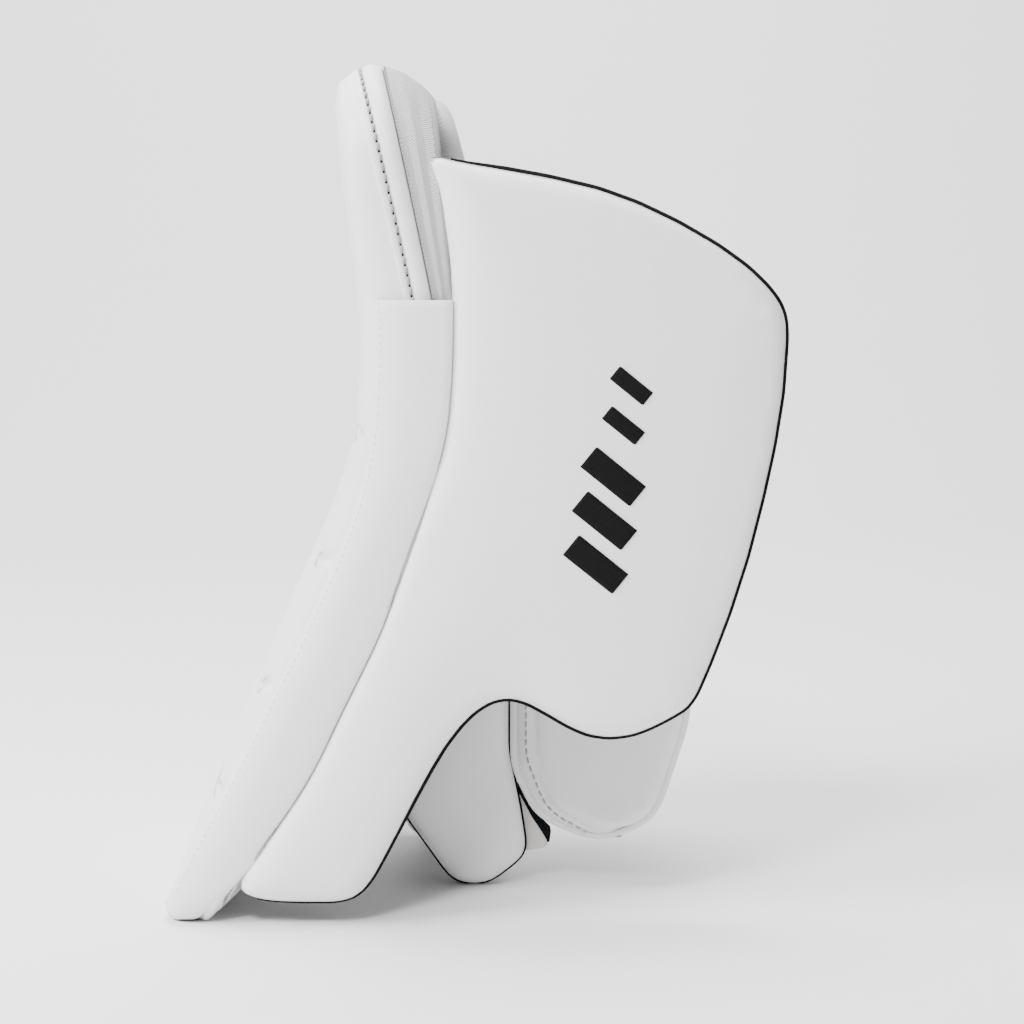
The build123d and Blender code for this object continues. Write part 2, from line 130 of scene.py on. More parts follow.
# ---- outlines ------------------------------------------------------------------------------
def rounded_path(corners, closed=True, step=2.5):
    """Points along a polyline with rounded corners, given as (x, y, corner radius)."""
    c = [np.array(p[:2], float) for p in corners]
    count = len(c)
    points = []
    for i, p in enumerate(c):
        radius = corners[i][2] if len(corners[i]) > 2 else 0
        if not closed and i in (0, count - 1) or radius == 0:
            points.append([p])
            continue
        a, b = c[i - 1] - p, c[(i + 1) % count] - p
        a, b = a / np.linalg.norm(a), b / np.linalg.norm(b)
        half = math.acos(np.clip(a @ b, -1, 1)) / 2
        t = radius / math.tan(half)
        middle = (a + b) / np.linalg.norm(a + b)
        centre = p + middle * radius / math.sin(half)
        start, end = p + a * t - centre, p + b * t - centre
        a0 = math.atan2(start[1], start[0])
        turn = (math.atan2(end[1], end[0]) - a0 + math.pi) % (2 * math.pi) - math.pi
        n = max(2, int(abs(turn) * radius / step) + 1)
        points.append([centre + radius * np.array([math.cos(a0 + turn * k / n), math.sin(a0 + turn * k / n)])
                       for k in range(n + 1)])
    flat = [q for group in points for q in group]
    if closed:
        flat.append(flat[0])
    return resample(np.array(flat), step, closed)


def resample(path, step, closed=False):
    """The same line with even steps."""
    seg = np.linalg.norm(np.diff(path, axis=0), axis=1)
    run = np.concatenate([[0], np.cumsum(seg)])
    n = max(3, int(round(run[-1] / step)))
    at = np.linspace(0, run[-1], n + 1)
    out = np.stack([np.interp(at, run, path[:, k]) for k in range(path.shape[1])], 1)
    return out[:-1] if closed else out


def normals_2d(path, closed=True):
    """Outward normals of an outline that runs anticlockwise."""
    if closed:
        t = np.roll(path, -1, 0) - np.roll(path, 1, 0)
    else:
        t = np.gradient(path, axis=0)
    t = t / np.linalg.norm(t, axis=1, keepdims=True)
    return np.stack([t[:, 1], -t[:, 0]], 1)


def anticlockwise(path):
    x, y = path[:, 0], path[:, 1]
    area = (x * np.roll(y, -1) - np.roll(x, -1) * y).sum()
    return path if area > 0 else path[::-1]


def distance(points, line, closed=False):
    """Distance from each 2D point to a polyline."""
    a = line
    b = np.roll(line, -1, 0) if closed else line[1:]
    a = a if closed else line[:-1]
    best = np.full(len(points), 1e9)
    for p, q in zip(a, b):
        d = q - p
        t = np.clip(((points - p) @ d) / max(d @ d, 1e-12), 0, 1)
        best = np.minimum(best, np.hypot(*(points - p - t[:, None] * d).T))
    return best


def inside(points, outline):
    x, y = points[:, 0], points[:, 1]
    result = np.zeros(len(points), bool)
    for p, q in zip(outline, np.roll(outline, -1, 0)):
        cross = (p[1] > y) != (q[1] > y)
        with np.errstate(divide="ignore", invalid="ignore"):
            at = (q[0] - p[0]) * (y - p[1]) / (q[1] - p[1]) + p[0]
        result ^= cross & (x < at)
    return result


def fill(outline, rings=(1, 2.2, 4, 6.5, 9.5), step=5.0, seams=(), seam_rings=(0, 0.9, 2.0, 3.6)):
    """Triangles over an outline, closer together near its edge and along its seams."""
    outline = anticlockwise(outline)
    normal = normals_2d(outline)
    extra = []
    for r in rings:
        p = outline - normal * r
        keep = distance(p, outline, True) > r * 0.97
        extra.append(p[keep & inside(p, outline)])
    for seam in seams:
        n = normals_2d(seam, closed=False)
        for r in seam_rings:
            for sign in ((1, -1) if r else (1,)):
                p = seam + n * r * sign
                extra.append(p[inside(p, outline) & (distance(p, outline, True) > 0.8)])
    low, high = outline.min(0), outline.max(0)
    gx, gy = np.meshgrid(np.arange(low[0], high[0], step), np.arange(low[1], high[1], step * 0.87))
    gx = gx + (np.arange(gx.shape[0]) % 2)[:, None] * step / 2
    grid = np.stack([gx.ravel(), gy.ravel()], 1)
    grid = grid[inside(grid, outline)]
    grid = grid[distance(grid, outline, True) > rings[-1] + step * 0.45]
    for seam in seams:
        grid = grid[distance(grid, seam) > seam_rings[-1] + step * 0.4]
    points = np.concatenate([outline, *extra, grid])
    n = len(outline)
    result = delaunay_2d_cdt([Vector(p) for p in points], [(i, (i + 1) % n) for i in range(n)], [], 1, 0.05)
    verts = np.array([tuple(v) for v in result[0]])
    tris = [tuple(f) for f in result[2]]
    centres = np.array([verts[list(f)].mean(0) for f in tris])
    ok = inside(centres, outline)
    tris = [f for f, good in zip(tris, ok) if good]
    used = sorted({i for f in tris for i in f})
    index = {k: i for i, k in enumerate(used)}
    verts = verts[used]
    tris = [tuple(index[i] for i in f) for f in tris]
    edges = {}
    for f in tris:
        for k in range(3):
            edges.setdefault(frozenset((f[k], f[(k + 1) % 3])), []).append((f[k], f[(k + 1) % 3]))
    border = [e[0] for e in edges.values() if len(e) == 1]
    follow = dict(border)
    loop, at = [], border[0][0]
    while at not in loop[:1] or not loop:
        loop.append(at)
        at = follow[at]
    return verts, tris, loop, distance(verts, outline, True)


# ---- materials -----------------------------------------------------------------------------
def material(name, color, rough, kind, scale, strength=0.3, vary=0.04, sheen=0.0, coat=0.0, gloss_level=0.5):
    """A procedural surface: kind is leather, suede, weave, herringbone or thread; scale in mm."""
    m = bpy.data.materials.new(name)
    m.use_nodes = True
    nodes, links = m.node_tree.nodes, m.node_tree.links
    nodes.clear()

    def node(kind_, **sockets):
        n = nodes.new(kind_)
        for key, value in sockets.items():
            if hasattr(n, key):
                setattr(n, key, value)
            else:
                n.inputs[key.replace("_", " ")].default_value = value
        return n

    def maths(op, a, b=None):
        n = nodes.new("ShaderNodeMath")
        n.operation = op
        for k, v in enumerate((a, b)):
            if v is None:
                continue
            if isinstance(v, (int, float)):
                n.inputs[k].default_value = v
            else:
                links.new(v, n.inputs[k])
        return n.outputs[0]

    out = node("ShaderNodeOutputMaterial")
    shader = node("ShaderNodeBsdfPrincipled")
    links.new(shader.outputs[0], out.inputs[0])
    shader.inputs["Sheen Weight"].default_value = sheen
    shader.inputs["Specular IOR Level"].default_value = gloss_level
    shader.inputs["Coat Weight"].default_value = coat
    shader.inputs["Coat Roughness"].default_value = 0.35
    place = node("ShaderNodeTexCoord")
    size = 1.0 / (scale * MM)
    if kind in ("leather", "suede"):
        cells = node("ShaderNodeTexVoronoi", feature="SMOOTH_F1", Scale=size, Smoothness=0.6)
        fine = node("ShaderNodeTexNoise", Scale=size * 1.7, Detail=4.0, Roughness=0.6)
        links.new(place.outputs["Object"], cells.inputs["Vector"])
        links.new(place.outputs["Object"], fine.inputs["Vector"])
        mix = 0.35 if kind == "leather" else 1.6
        height = maths("ADD", cells.outputs["Distance"], maths("MULTIPLY", fine.outputs["Fac"], mix))
    else:
        split = node("ShaderNodeSeparateXYZ")
        links.new(place.outputs["UV"], split.inputs[0])
        u, v = split.outputs[0], split.outputs[1]
        k = 2 * math.pi * size
        if kind == "herringbone":
            fold = maths("PINGPONG", v, 0.0024)
            twill = maths("SINE", maths("MULTIPLY", maths("ADD", u, maths("MULTIPLY", fold, 1.6)), k))
            height = maths("MULTIPLY", twill, 0.7)
        elif kind == "thread":
            height = maths("SINE", maths("MULTIPLY", maths("ADD", u, maths("MULTIPLY", v, 0.35)), k))
        else:
            a = maths("SINE", maths("MULTIPLY", u, k))
            b = maths("SINE", maths("MULTIPLY", v, k))
            height = maths("MULTIPLY", a, b)
    bump = node("ShaderNodeBump", Strength=strength, Distance=scale * MM * 0.35)
    links.new(height, bump.inputs["Height"])
    links.new(bump.outputs[0], shader.inputs["Normal"])
    broad = node("ShaderNodeTexNoise", Scale=28.0, Detail=6.0, Roughness=0.62)
    links.new(place.outputs["Object"], broad.inputs["Vector"])
    shade = nodes.new("ShaderNodeMixRGB")
    shade.inputs[1].default_value = (*[c * (1 - vary) for c in color], 1)
    shade.inputs[2].default_value = (*[min(1, c * (1 + vary)) for c in color], 1)
    links.new(broad.outputs["Fac"], shade.inputs[0])
    # darker where the bump height is low: painted shade in the hollows of the grain, weave and thread twist
    deep = nodes.new("ShaderNodeMixRGB")
    deep.blend_type = "MULTIPLY"
    links.new(shade.outputs[0], deep.inputs[1])
    hollow_shade_floor = 0.93 if kind in ("leather", "suede") else 0.72
    hollow_shade_ramp = node("ShaderNodeMapRange")
    hollow_shade_ramp.inputs["From Min"].default_value = 0.0 if kind in ("leather", "suede") else -0.6
    hollow_shade_ramp.inputs["From Max"].default_value = 0.6
    hollow_shade_ramp.inputs["To Min"].default_value = hollow_shade_floor
    hollow_shade_ramp.inputs["To Max"].default_value = 1.0
    links.new(height, hollow_shade_ramp.inputs["Value"])
    links.new(hollow_shade_ramp.outputs[0], deep.inputs[2])
    deep.inputs[0].default_value = 1.0
    links.new(deep.outputs[0], shader.inputs["Base Color"])
    gloss = node("ShaderNodeMapRange")
    gloss.inputs["To Min"].default_value = rough - 0.06
    gloss.inputs["To Max"].default_value = rough + 0.07
    links.new(broad.outputs["Fac"], gloss.inputs["Value"])
    links.new(gloss.outputs[0], shader.inputs["Roughness"])
    return m


MATERIALS = {
    "face_pu": material("white_pu", (0.86, 0.86, 0.86), 0.5, "leather", 0.8, 0.22, 0.02, coat=0.06),
    "edge_pu": material("edge_pu", (0.84, 0.84, 0.84), 0.48, "leather", 0.8, 0.22, 0.02, coat=0.06),
    "welt_pu": material("welt_pu", (0.83, 0.83, 0.83), 0.46, "leather", 0.7, 0.2, 0.02, coat=0.08),
    "white_pad": material("pad_pu", (0.85, 0.85, 0.85), 0.5, "leather", 0.9, 0.25, 0.025, coat=0.05),
    "tape": material("herringbone_tape", (0.76, 0.76, 0.76), 0.85, "herringbone", 1.05, 1.0, 0.02, sheen=0.15),
    "grey_fabric": material("grey_nylon", (0.72, 0.72, 0.725), 0.85, "weave", 1.0, 0.25, 0.03, sheen=0.2),
    "black_nylon": material("black_nylon", (0.008, 0.008, 0.009), 0.85, "weave", 1.1, 0.6, 0.15, sheen=0.03, gloss_level=0.12),
    "black_binding": material("black_binding", (0.006, 0.006, 0.007), 0.8, "weave", 0.9, 0.5, 0.15, gloss_level=0.08),
    "thread": material("satin_thread", (0.005, 0.005, 0.006), 0.6, "thread", 0.55, 0.9, 0.2, gloss_level=0.1),
    "palm_leather": material("palm_leather", (0.74, 0.72, 0.68), 0.8, "suede", 0.7, 0.45, 0.06, sheen=0.15),
    "hook_loop": material("hook_loop", (0.01, 0.01, 0.011), 0.9, "weave", 0.8, 0.9, 0.2, sheen=0.05, gloss_level=0.15),
    "tab": material("moulded_rubber", (0.03, 0.03, 0.032), 0.5, "leather", 1.4, 0.3, 0.1),
}
THREAD_WHITE = material("white_thread", (0.8, 0.8, 0.8), 0.6, "thread", 0.4, 0.7, 0.05)
THREAD_LIGHT = material("light_thread", (0.6, 0.6, 0.6), 0.55, "thread", 0.4, 0.8, 0.08)
THREAD_GREY = material("grey_thread", (0.34, 0.34, 0.35), 0.6, "thread", 0.4, 0.7, 0.1)
THREAD_BLACK = material("black_thread", (0.008, 0.008, 0.009), 0.6, "thread", 0.4, 0.7, 0.1, gloss_level=0.15)


# ---- making pieces ---------------------------------------------------------------------------
def piece(name, verts, faces, body, slot, replaces=(), uv=None, mat=None, ride=True):
    """A mesh object from millimetres, on a body, standing for the CAD nodes it replaces."""
    mesh = bpy.data.meshes.new(name)
    mesh.from_pydata([tuple(v) for v in np.asarray(verts) * MM], [], faces)
    mesh.validate()
    mesh.update()
    layer = mesh.uv_layers.new(name="UVMap")
    corner = np.empty(len(mesh.loops), int)
    mesh.loops.foreach_get("vertex_index", corner)
    if uv is None:
        co = np.asarray(verts) * MM
        uv = co[:, [0, 2]] if np.ptp(co[:, 1]) < np.ptp(co[:, 0]) else co[:, [1, 2]]
    layer.data.foreach_set("uv", np.asarray(uv)[corner].astype(np.float32).ravel())
    mesh.polygons.foreach_set("use_smooth", [True] * len(mesh.polygons))
    mesh.materials.append(mat or MATERIALS[slot])
    obj = bpy.data.objects.new(name, mesh)
    bpy.context.scene.collection.objects.link(obj)
    if replaces:
        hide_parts(*replaces)
    if ride:
        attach(obj, body)
    return obj


def grid_faces(rows, columns, wrap_rows=False, wrap_columns=False):
    faces = []
    for i in range(rows if wrap_rows else rows - 1):
        for j in range(columns if wrap_columns else columns - 1):
            a, b = i * columns + j, i * columns + (j + 1) % columns
            c, d = ((i + 1) % rows) * columns + (j + 1) % columns, ((i + 1) % rows) * columns + j
            faces.append((a, b, c, d))
    return faces


def thicken(obj, amount, offset=-1.0):
    """Give a sheet its thickness, in mm."""
    mod = obj.modifiers.new("thickness", "SOLIDIFY")
    mod.thickness = amount * MM
    mod.offset = offset
    mod.use_even_offset = True
    return obj


def soften(obj, levels=1):
    mod = obj.modifiers.new("smooth", "SUBSURF")
    mod.levels = mod.render_levels = levels
    return obj


def puff(obj, held, cap=3.0, pressure=4.0, frames=20):
    """Let the cover swell over its filling as cloth, held where held is true; cap in mm."""
    group = obj.vertex_groups.new(name="held")
    group.add([int(i) for i in np.flatnonzero(held)], 1.0, "REPLACE")
    rest = np.empty(len(obj.data.vertices) * 3)
    obj.data.vertices.foreach_get("co", rest)
    rest = rest.reshape(-1, 3)
    cloth = obj.modifiers.new("cloth", "CLOTH")
    s = cloth.settings
    s.vertex_group_mass = "held"
    s.quality = 6
    s.mass = 0.25
    s.tension_stiffness = s.compression_stiffness = 12
    s.shear_stiffness = 4
    s.bending_stiffness = 0.4
    s.use_pressure = True
    s.uniform_pressure_force = pressure
    s.effector_weights.gravity = 0
    cloth.point_cache.frame_start, cloth.point_cache.frame_end = 1, frames
    scene = bpy.context.scene
    for f in range(1, frames + 1):
        scene.frame_set(f)
    shaped = obj.evaluated_get(bpy.context.evaluated_depsgraph_get()).data
    moved = np.empty(len(rest) * 3)
    shaped.vertices.foreach_get("co", moved)
    step = moved.reshape(-1, 3) - rest
    length = np.linalg.norm(step, axis=1, keepdims=True)
    limit = cap * MM
    step *= limit * np.tanh(length / limit) / np.maximum(length, 1e-9)
    obj.modifiers.remove(cloth)
    obj.vertex_groups.remove(group)
    obj.data.vertices.foreach_set("co", (rest + step).ravel())
    obj.data.update()
    scene.frame_set(1)
    return obj


def quarter(d, radius):
    """1 at the edge falling to 0 at radius, as a rounded corner does."""
    t = np.clip(d / radius, 0, 1)
    return 1 - np.sqrt(np.maximum(1 - (1 - t) ** 2, 0))


def groove(points, seams, width=1.6):
    g = np.zeros(len(points))
    for seam in seams:
        g = np.maximum(g, np.exp(-((distance(points, seam) / width) ** 2)))
    return g


def plate_pad(name, outline, y_face, y_rim, y_back, radius, dome, body, slot, replaces=(), seams=(),
              seam_depth=1.4, step=5.0, swell=2.0, back_round=1.5, x_of=None):
    """A stuffed pad in the side view, with a rounded and crowned face towards y_face."""
    verts, tris, loop, d = fill(outline, step=step, seams=seams)
    toward = 1.0 if y_back > y_face else -1.0
    crown = dome * (1 - np.exp(-((d / 28.0) ** 1.3)))
    sunk = groove(verts, seams) * seam_depth
    y = y_face + (y_rim - y_face) * quarter(d, radius) + toward * (sunk - crown)
    yb = y_back - toward * back_round * quarter(d, 3.0)
    n = len(verts)
    front = np.stack([verts[:, 0], y, verts[:, 1]], 1)
    back = np.stack([verts[:, 0], yb, verts[:, 1]], 1)
    faces = [f if toward > 0 else f[::-1] for f in tris] + [
        tuple(i + n for i in (f[::-1] if toward > 0 else f)) for f in tris]
    for a, b in zip(loop, loop[1:] + loop[:1]):
        q = (a, a + n, b + n, b)
        faces.append(q if toward > 0 else q[::-1])
    uv = np.concatenate([verts, verts]) * MM
    obj = piece(name, np.concatenate([front, back]), faces, body, slot, replaces, uv=uv)
    if swell:
        held = np.concatenate([(d < radius * 0.45) | (groove(verts, seams, 3.0) > 0.4), np.ones(n, bool)])
        puff(obj, held, cap=swell)
    return obj


def sweep(path, profile, closed=True):
    """Verts and UVs of a profile carried along a path: path (n, 3) with frames (n, 3) across and out."""
    points, across, out = path
    rows = []
    for a, o in profile:
        rows.append(points + across * a + out * o)
    verts = np.stack(rows, 1)
    seg = np.linalg.norm(np.diff(points, axis=0), axis=1)
    run = np.concatenate([[0], np.cumsum(seg)])
    prof = np.array(profile)
    along = np.concatenate([[0], np.cumsum(np.hypot(*np.diff(prof, axis=0).T))])
    uv = np.stack(np.meshgrid(run, along, indexing="ij"), -1) * MM
    return verts, uv


STITCH = []
for ring, (x, r) in enumerate([(-0.5, 0.25), (-0.42, 0.8), (-0.2, 1.0), (0.2, 1.0), (0.42, 0.8), (0.5, 0.25)]):
    for k in range(6):
        STITCH.append((x, r * math.cos(k * math.pi / 3), r * math.sin(k * math.pi / 3)))
STITCH = np.array(STITCH)


def stitches(name, points, normals, body, length=2.6, gap=1.2, radius=0.38, mat=None, slot="face_pu", lean=0.0,
             lift=0.1, phase=0.5):
    """A row of thread stitches along a line on a surface."""
    seg = np.linalg.norm(np.diff(points, axis=0), axis=1)
    run = np.concatenate([[0], np.cumsum(seg)])
    count = int(run[-1] / (length + gap))
    if count < 1:
        return None
    at = (np.arange(count) + phase) * run[-1] / count
    p = np.stack([np.interp(at, run, points[:, k]) for k in range(3)], 1)
    ahead = np.stack([np.interp(np.minimum(at + 0.5, run[-1]), run, points[:, k]) for k in range(3)], 1)
    behind = np.stack([np.interp(np.maximum(at - 0.5, 0), run, points[:, k]) for k in range(3)], 1)
    n = np.stack([np.interp(at, run, normals[:, k]) for k in range(3)], 1)
    t = ahead - behind
    t /= np.linalg.norm(t, axis=1, keepdims=True)
    n -= (n * t).sum(1, keepdims=True) * t
    n /= np.linalg.norm(n, axis=1, keepdims=True)
    side = np.cross(t, n)
    t2 = t * math.cos(lean) + side * math.sin(lean)
    side = np.cross(t2, n)
    verts = []
    for k in range(count):
        arch = radius * 0.6 * (1 - (STITCH[:, 0] * 2) ** 2)
        verts.append(p[k] + t2[k] * STITCH[:, :1] * length + side[k] * STITCH[:, 1:2] * radius
                     + n[k] * (STITCH[:, 2:3] * radius + arch[:, None] + lift))
    faces = []
    for k in range(count):
        base = k * len(STITCH)
        for r in range(5):
            for j in range(6):
                a, b = base + r * 6 + j, base + r * 6 + (j + 1) % 6
                faces.append((a, b, b + 6, a + 6))
        faces.append(tuple(base + j for j in range(6))[::-1])
        faces.append(tuple(base + 30 + j for j in range(6)))
    verts = np.concatenate(verts)
    uv = np.tile(np.stack([STITCH[:, 1], STITCH[:, 0] * length], 1), (count, 1)) * MM
    return piece(name, verts, faces, body, slot, uv=uv, mat=mat or THREAD_WHITE)


# ---- face board ----------------------------------------------------------------------------
def board_outline(inset=0.0, step=3.0):
    low, high, top = BOARD_Y - HALF_BOARD + inset, BOARD_Y + HALF_BOARD - inset, BOARD_TOP - inset
    corners = [(low, inset, 13 - inset * 0.6), (high, inset, 13 - inset * 0.6), (high, top, 45 - inset), (low, top, 45 - inset)]
    return anticlockwise(rounded_path(corners, step=step))


def line(*points, closed=False, step=2.5):
    return rounded_path([(*p, 0) if len(p) == 2 else p for p in points], closed=closed, step=step)


COVER_SHARE = 0.355  # where the face cover meets the stitched edge strip
FACE_SEAMS = [
    line((-90, 214), (-40, 214), (BOARD_Y, 206, 60), (48, 214), (100, 214)),
    line((-90, 104), (-60, 96, 30), (BOARD_Y, 84, 80), (70, 96, 30), (100, 104)),
    line((-66, 196), (-58, 150, 60), (-66, 112)),
    line((74, 196), (66, 150, 60), (74, 112)),
    line((-62, 344), (-54, 290, 80), (-60, 232)),
    line((70, 344), (62, 290, 80), (68, 232)),
    line((-92, 56), (-60, 50, 30), (BOARD_Y, 42, 80), (70, 50, 30), (100, 56)),
    line((-92, 160), (-64, 155)),
    line((100, 160), (72, 155)),
]

verts, tris, loop, d = fill(board_outline(), rings=(0.7, 1.6, 3, 5, 7.5, 10.5, 14), step=5.0, seams=FACE_SEAMS)
share = COVER_SHARE * quarter(d, 8.0)
share = share - 0.075 * (1 - np.exp(-((d / 20.0) ** 1.5))) + 0.06 * groove(verts, FACE_SEAMS, 2.4)
front = board_point(verts[:, 0], verts[:, 1], seam_share(share, verts[:, 1]))
n = len(verts)
back = board_point(verts[:, 0], verts[:, 1], seam_share(np.maximum(share + 0.02, 0.34), verts[:, 1]))
faces = [f for f in tris] + [tuple(i + n for i in f[::-1]) for f in tris]
faces += [(a, a + n, b + n, b) for a, b in zip(loop, loop[1:] + loop[:1])]
near_face = Vector(front[tris[0][1]] - front[tris[0][0]]).cross(Vector(front[tris[0][2]] - front[tris[0][0]]))
if near_face.x > 0:
    faces = [f[::-1] for f in faces]
face_cover = piece("face_cover", np.concatenate([front, back]), faces, "board", "face_pu",
                   ["face_panel_lower", "face_panel_middle", "face_panel_upper", "front_foam", "board_stiffener"],
                   uv=np.concatenate([verts, verts]) * MM)
puff(face_cover, np.concatenate([(d < 9) | (groove(verts, FACE_SEAMS, 3.0) > 0.35), np.ones(n, bool)]), cap=1.8)


def on_board(seam, share_at):
    """3D points and outward normals of a line drawn on the board's face."""
    p = board_point(seam[:, 0], seam[:, 1], np.full(len(seam), share_at))
    q = board_point(seam[:, 0], seam[:, 1], np.full(len(seam), share_at - 0.1))
    out = q - p
    return p, out / np.linalg.norm(out, axis=1, keepdims=True)


for k, seam in enumerate(FACE_SEAMS):
    shift = normals_2d(seam, closed=False) * 2.6
    for side_, sign in (("a", 1), ("b", -1)):
        row = seam + shift * sign
        p, out = on_board(row, -0.045)
        stitches(f"face_stitch_{k}{side_}", p, out, "board", radius=0.3, slot="face_pu")


# the edge of the board: strips carried round its outline
EDGE_LINE = board_outline(step=3.2)
EDGE_NORMAL = normals_2d(EDGE_LINE)


def edge_strip(name, profile, slot, replaces=(), keep=None, thick=1.0):
    """A strip round the board's edge; its profile is (share of depth, distance outside)."""
    prof = np.array(profile)
    count = len(EDGE_LINE)
    rows = []
    for s, o in prof:
        q = EDGE_LINE + EDGE_NORMAL * o
        rows.append(board_point(q[:, 0], q[:, 1], seam_share(s, q[:, 1])))
    verts = np.stack(rows, 1)
    run = np.concatenate([[0], np.cumsum(np.linalg.norm(np.diff(EDGE_LINE, axis=0), axis=1))])
    across = np.concatenate([[0], np.cumsum(np.hypot(np.diff(prof[:, 0]) * 37, np.diff(prof[:, 1])))])
    uv = np.stack(np.meshgrid(run, across, indexing="ij"), -1) * MM
    faces = [f[::-1] for f in grid_faces(count, len(prof), wrap_rows=True)]
    obj = piece(name, verts.reshape(-1, 3), faces, "board", slot, replaces, uv=uv.reshape(-1, 2))
    return thicken(obj, thick)


def bulge(s0, s1, low, high, count=9, power=0.6):
    t = np.linspace(0, 1, count)
    return [(s0 + (s1 - s0) * k, low + (high - low) * math.sin(math.pi * k) ** power) for k in t]


edge_strip("edge_cover", [(0.335, -2.0), (0.353, -1.5), (0.359, -0.9), (0.364, 0.2), (0.372, 0.6), (0.4, 0.75),
                          (0.43, 0.7), (0.446, 0.45), (0.455, -0.3), (0.462, -1.2)], "edge_pu", ["edge_cover"])
edge_strip("edge_welt", bulge(0.458, 0.69, -1.1, 1.6, 15, 0.5), "welt_pu", ["edge_welt"])
edge_strip("edge_tape", [(0.688, -1.6), (0.696, -0.2), (0.71, 0.5), (0.74, 0.85), (0.85, 1.0), (0.94, 0.95),
                         (0.985, 0.7), (1.006, 0.0), (1.014, -1.0), (1.018, -3), (1.018, -9.5)],
           "tape", ["edge_tape"])


def edge_row(share_, out, low=None):
    q = EDGE_LINE + EDGE_NORMAL * out
    p = board_point(q[:, 0], q[:, 1], seam_share(share_, q[:, 1]))
    nrm = np.stack([np.zeros(len(q)), EDGE_NORMAL[:, 0], EDGE_NORMAL[:, 1]], 1)
    start = int(np.argmin(EDGE_LINE[:, 1] * 3 + np.abs(EDGE_LINE[:, 0] - BOARD_Y)))
    order = np.roll(np.arange(len(q)), -start)
    return p[order], nrm[order]


p, out = edge_row(0.457, 0.25)
stitches("edge_saddle_stitch", p, out, "board", 3.7, 0.7, 0.72, THREAD_LIGHT, "edge_pu", lean=0.2, lift=0.0)
# short black thread bits in the gaps between the saddle stitches: painted shade of the stitch holes
stitches("edge_stitch_hole_painted_shade", p, out, "board", 0.9, 3.5, 0.5, THREAD_BLACK, "edge_pu", lean=-0.3, lift=-0.2, phase=0.0)
p, out = edge_row(0.709, 0.5)
stitches("edge_tape_stitch", p, out, "board", 1.0, 0.8, 0.34, THREAD_LIGHT, "tape", lean=1.2, lift=0.0)
p, out = edge_row(0.968, 0.85)
stitches("edge_back_stitch", p, out, "board", 2.0, 1.0, 0.25, THREAD_WHITE, "tape", lift=0.0)

# the line where the side band meets the side board
JUNCTION = np.array([
    (19.0, 17.1), (21.8, 20.6), (30.5, 32.0), (39.3, 45.1), (48.0, 57.5), (56.3, 72.2), (65.4, 91.7), (74.1, 109.1),
    (81.6, 124.2), (88.2, 141.4), (94.0, 158.6), (98.1, 169.3), (102.2, 182.2), (105.4, 192.8), (108.7, 205.6),
    (111.2, 218.3), (112.6, 235.3), (113.2, 252.1), (113.4, 268.9), (112.9, 283.6), (111.6, 294.0), (109.4, 306.5),
    (107.4, 319.0), (102.6, 331.0),
])  # fmt: skip


def junction_x(z):
    """Distance behind the toe of that line at a height."""
    z = np.asarray(z, float)
    around = [np.interp(z + k, JUNCTION[:, 1], JUNCTION[:, 0]) for k in (-9, -4, 0, 4, 9)]
    return np.average(around, axis=0, weights=(1, 2, 3, 2, 1))


# the smooth band over the thumb side edge and the toe
band_z = np.concatenate([np.linspace(0.4, 24, 14), np.linspace(27, WRAP_TOP, 84)])
across = np.concatenate([[0.0], np.linspace(0, 1, 26), [1.0]])
tuck = np.zeros(28)
tuck[0], tuck[-1] = 6.0, 3.0
rows = []
for z in band_z:
    corner = 13 - math.sqrt(max(13 ** 2 - (13 - min(z, 13)) ** 2, 0))
    s0 = np.interp(z, (0, 30, 60, 120, 200, 235, 269), (-0.05, 0.0, 0.08, 0.165, 0.158, 0.118, 0.132))
    h, s = np.full(28, z), across
    for turn in range(3):
        front_x, back_x = board_x(0.0, h), board_x(1.0, h)
        s1 = (junction_x(h) - front_x) / (back_x - front_x) + 0.012
        s1 = np.maximum(s1, 1.0 - 0.15 * np.clip((h - 26) / 14, 0, 1))
        s = s0 + (s1 - s0) * across
        low = np.where(s < 0.24, 4 * ((0.24 - s) / 0.24) ** 2, 13.0 * (np.maximum(s - 0.45, 0) / 0.4) ** 1.7)
        h = np.minimum(low, 15) * (1 - z / WRAP_TOP) + z
    wide = (back_x - front_x) * (s1 - s0)
    upper = np.clip((z - 165) / 40, 0, 1)
    u, w = across * wide, (1 - across) * wide
    lift = 1.7 + 1.5 * np.sin(np.pi * across) ** 0.8 * min(z / 30, 1) + upper * 1.5 * across ** 2
    front_round = 4.2 * quarter(u + 0.3, 13.0)
    back_round = (3.4 - 1.6 * upper) * quarter(w + 0.2, 9.0 - 6.5 * upper)
    y = NEAR_Y - lift + corner + front_round + back_round + tuck
    rows.append(np.stack([board_x(s, h) - TOE, y, h], -1))
wrap = np.stack(rows, 0)
uv = np.stack(np.meshgrid(band_z, across * 32, indexing="ij"), -1) * MM
faces = grid_faces(len(band_z), len(across))
side_wrap = piece("side_wrap", wrap.reshape(-1, 3), faces, "board", "face_pu", ["side_wrap"], uv=uv.reshape(-1, 2))
thicken(side_wrap, 1.1, offset=0.0)
stitches("wrap_front_stitch", (wrap[6:, 2] * 0.6 + wrap[6:, 3] * 0.4), np.tile([[-0.7, -0.7, 0]], (len(band_z) - 6, 1)),
         "board", 1.9, 1.4, 0.24, THREAD_WHITE, "face_pu", lift=0.35)
stitches("wrap_back_stitch", wrap[4:, -2], np.tile([[0.2, -0.98, 0]], (len(band_z) - 4, 1)), "board", 1.3, 1.5, 0.3,
         THREAD_GREY, "face_pu", lift=0.2)

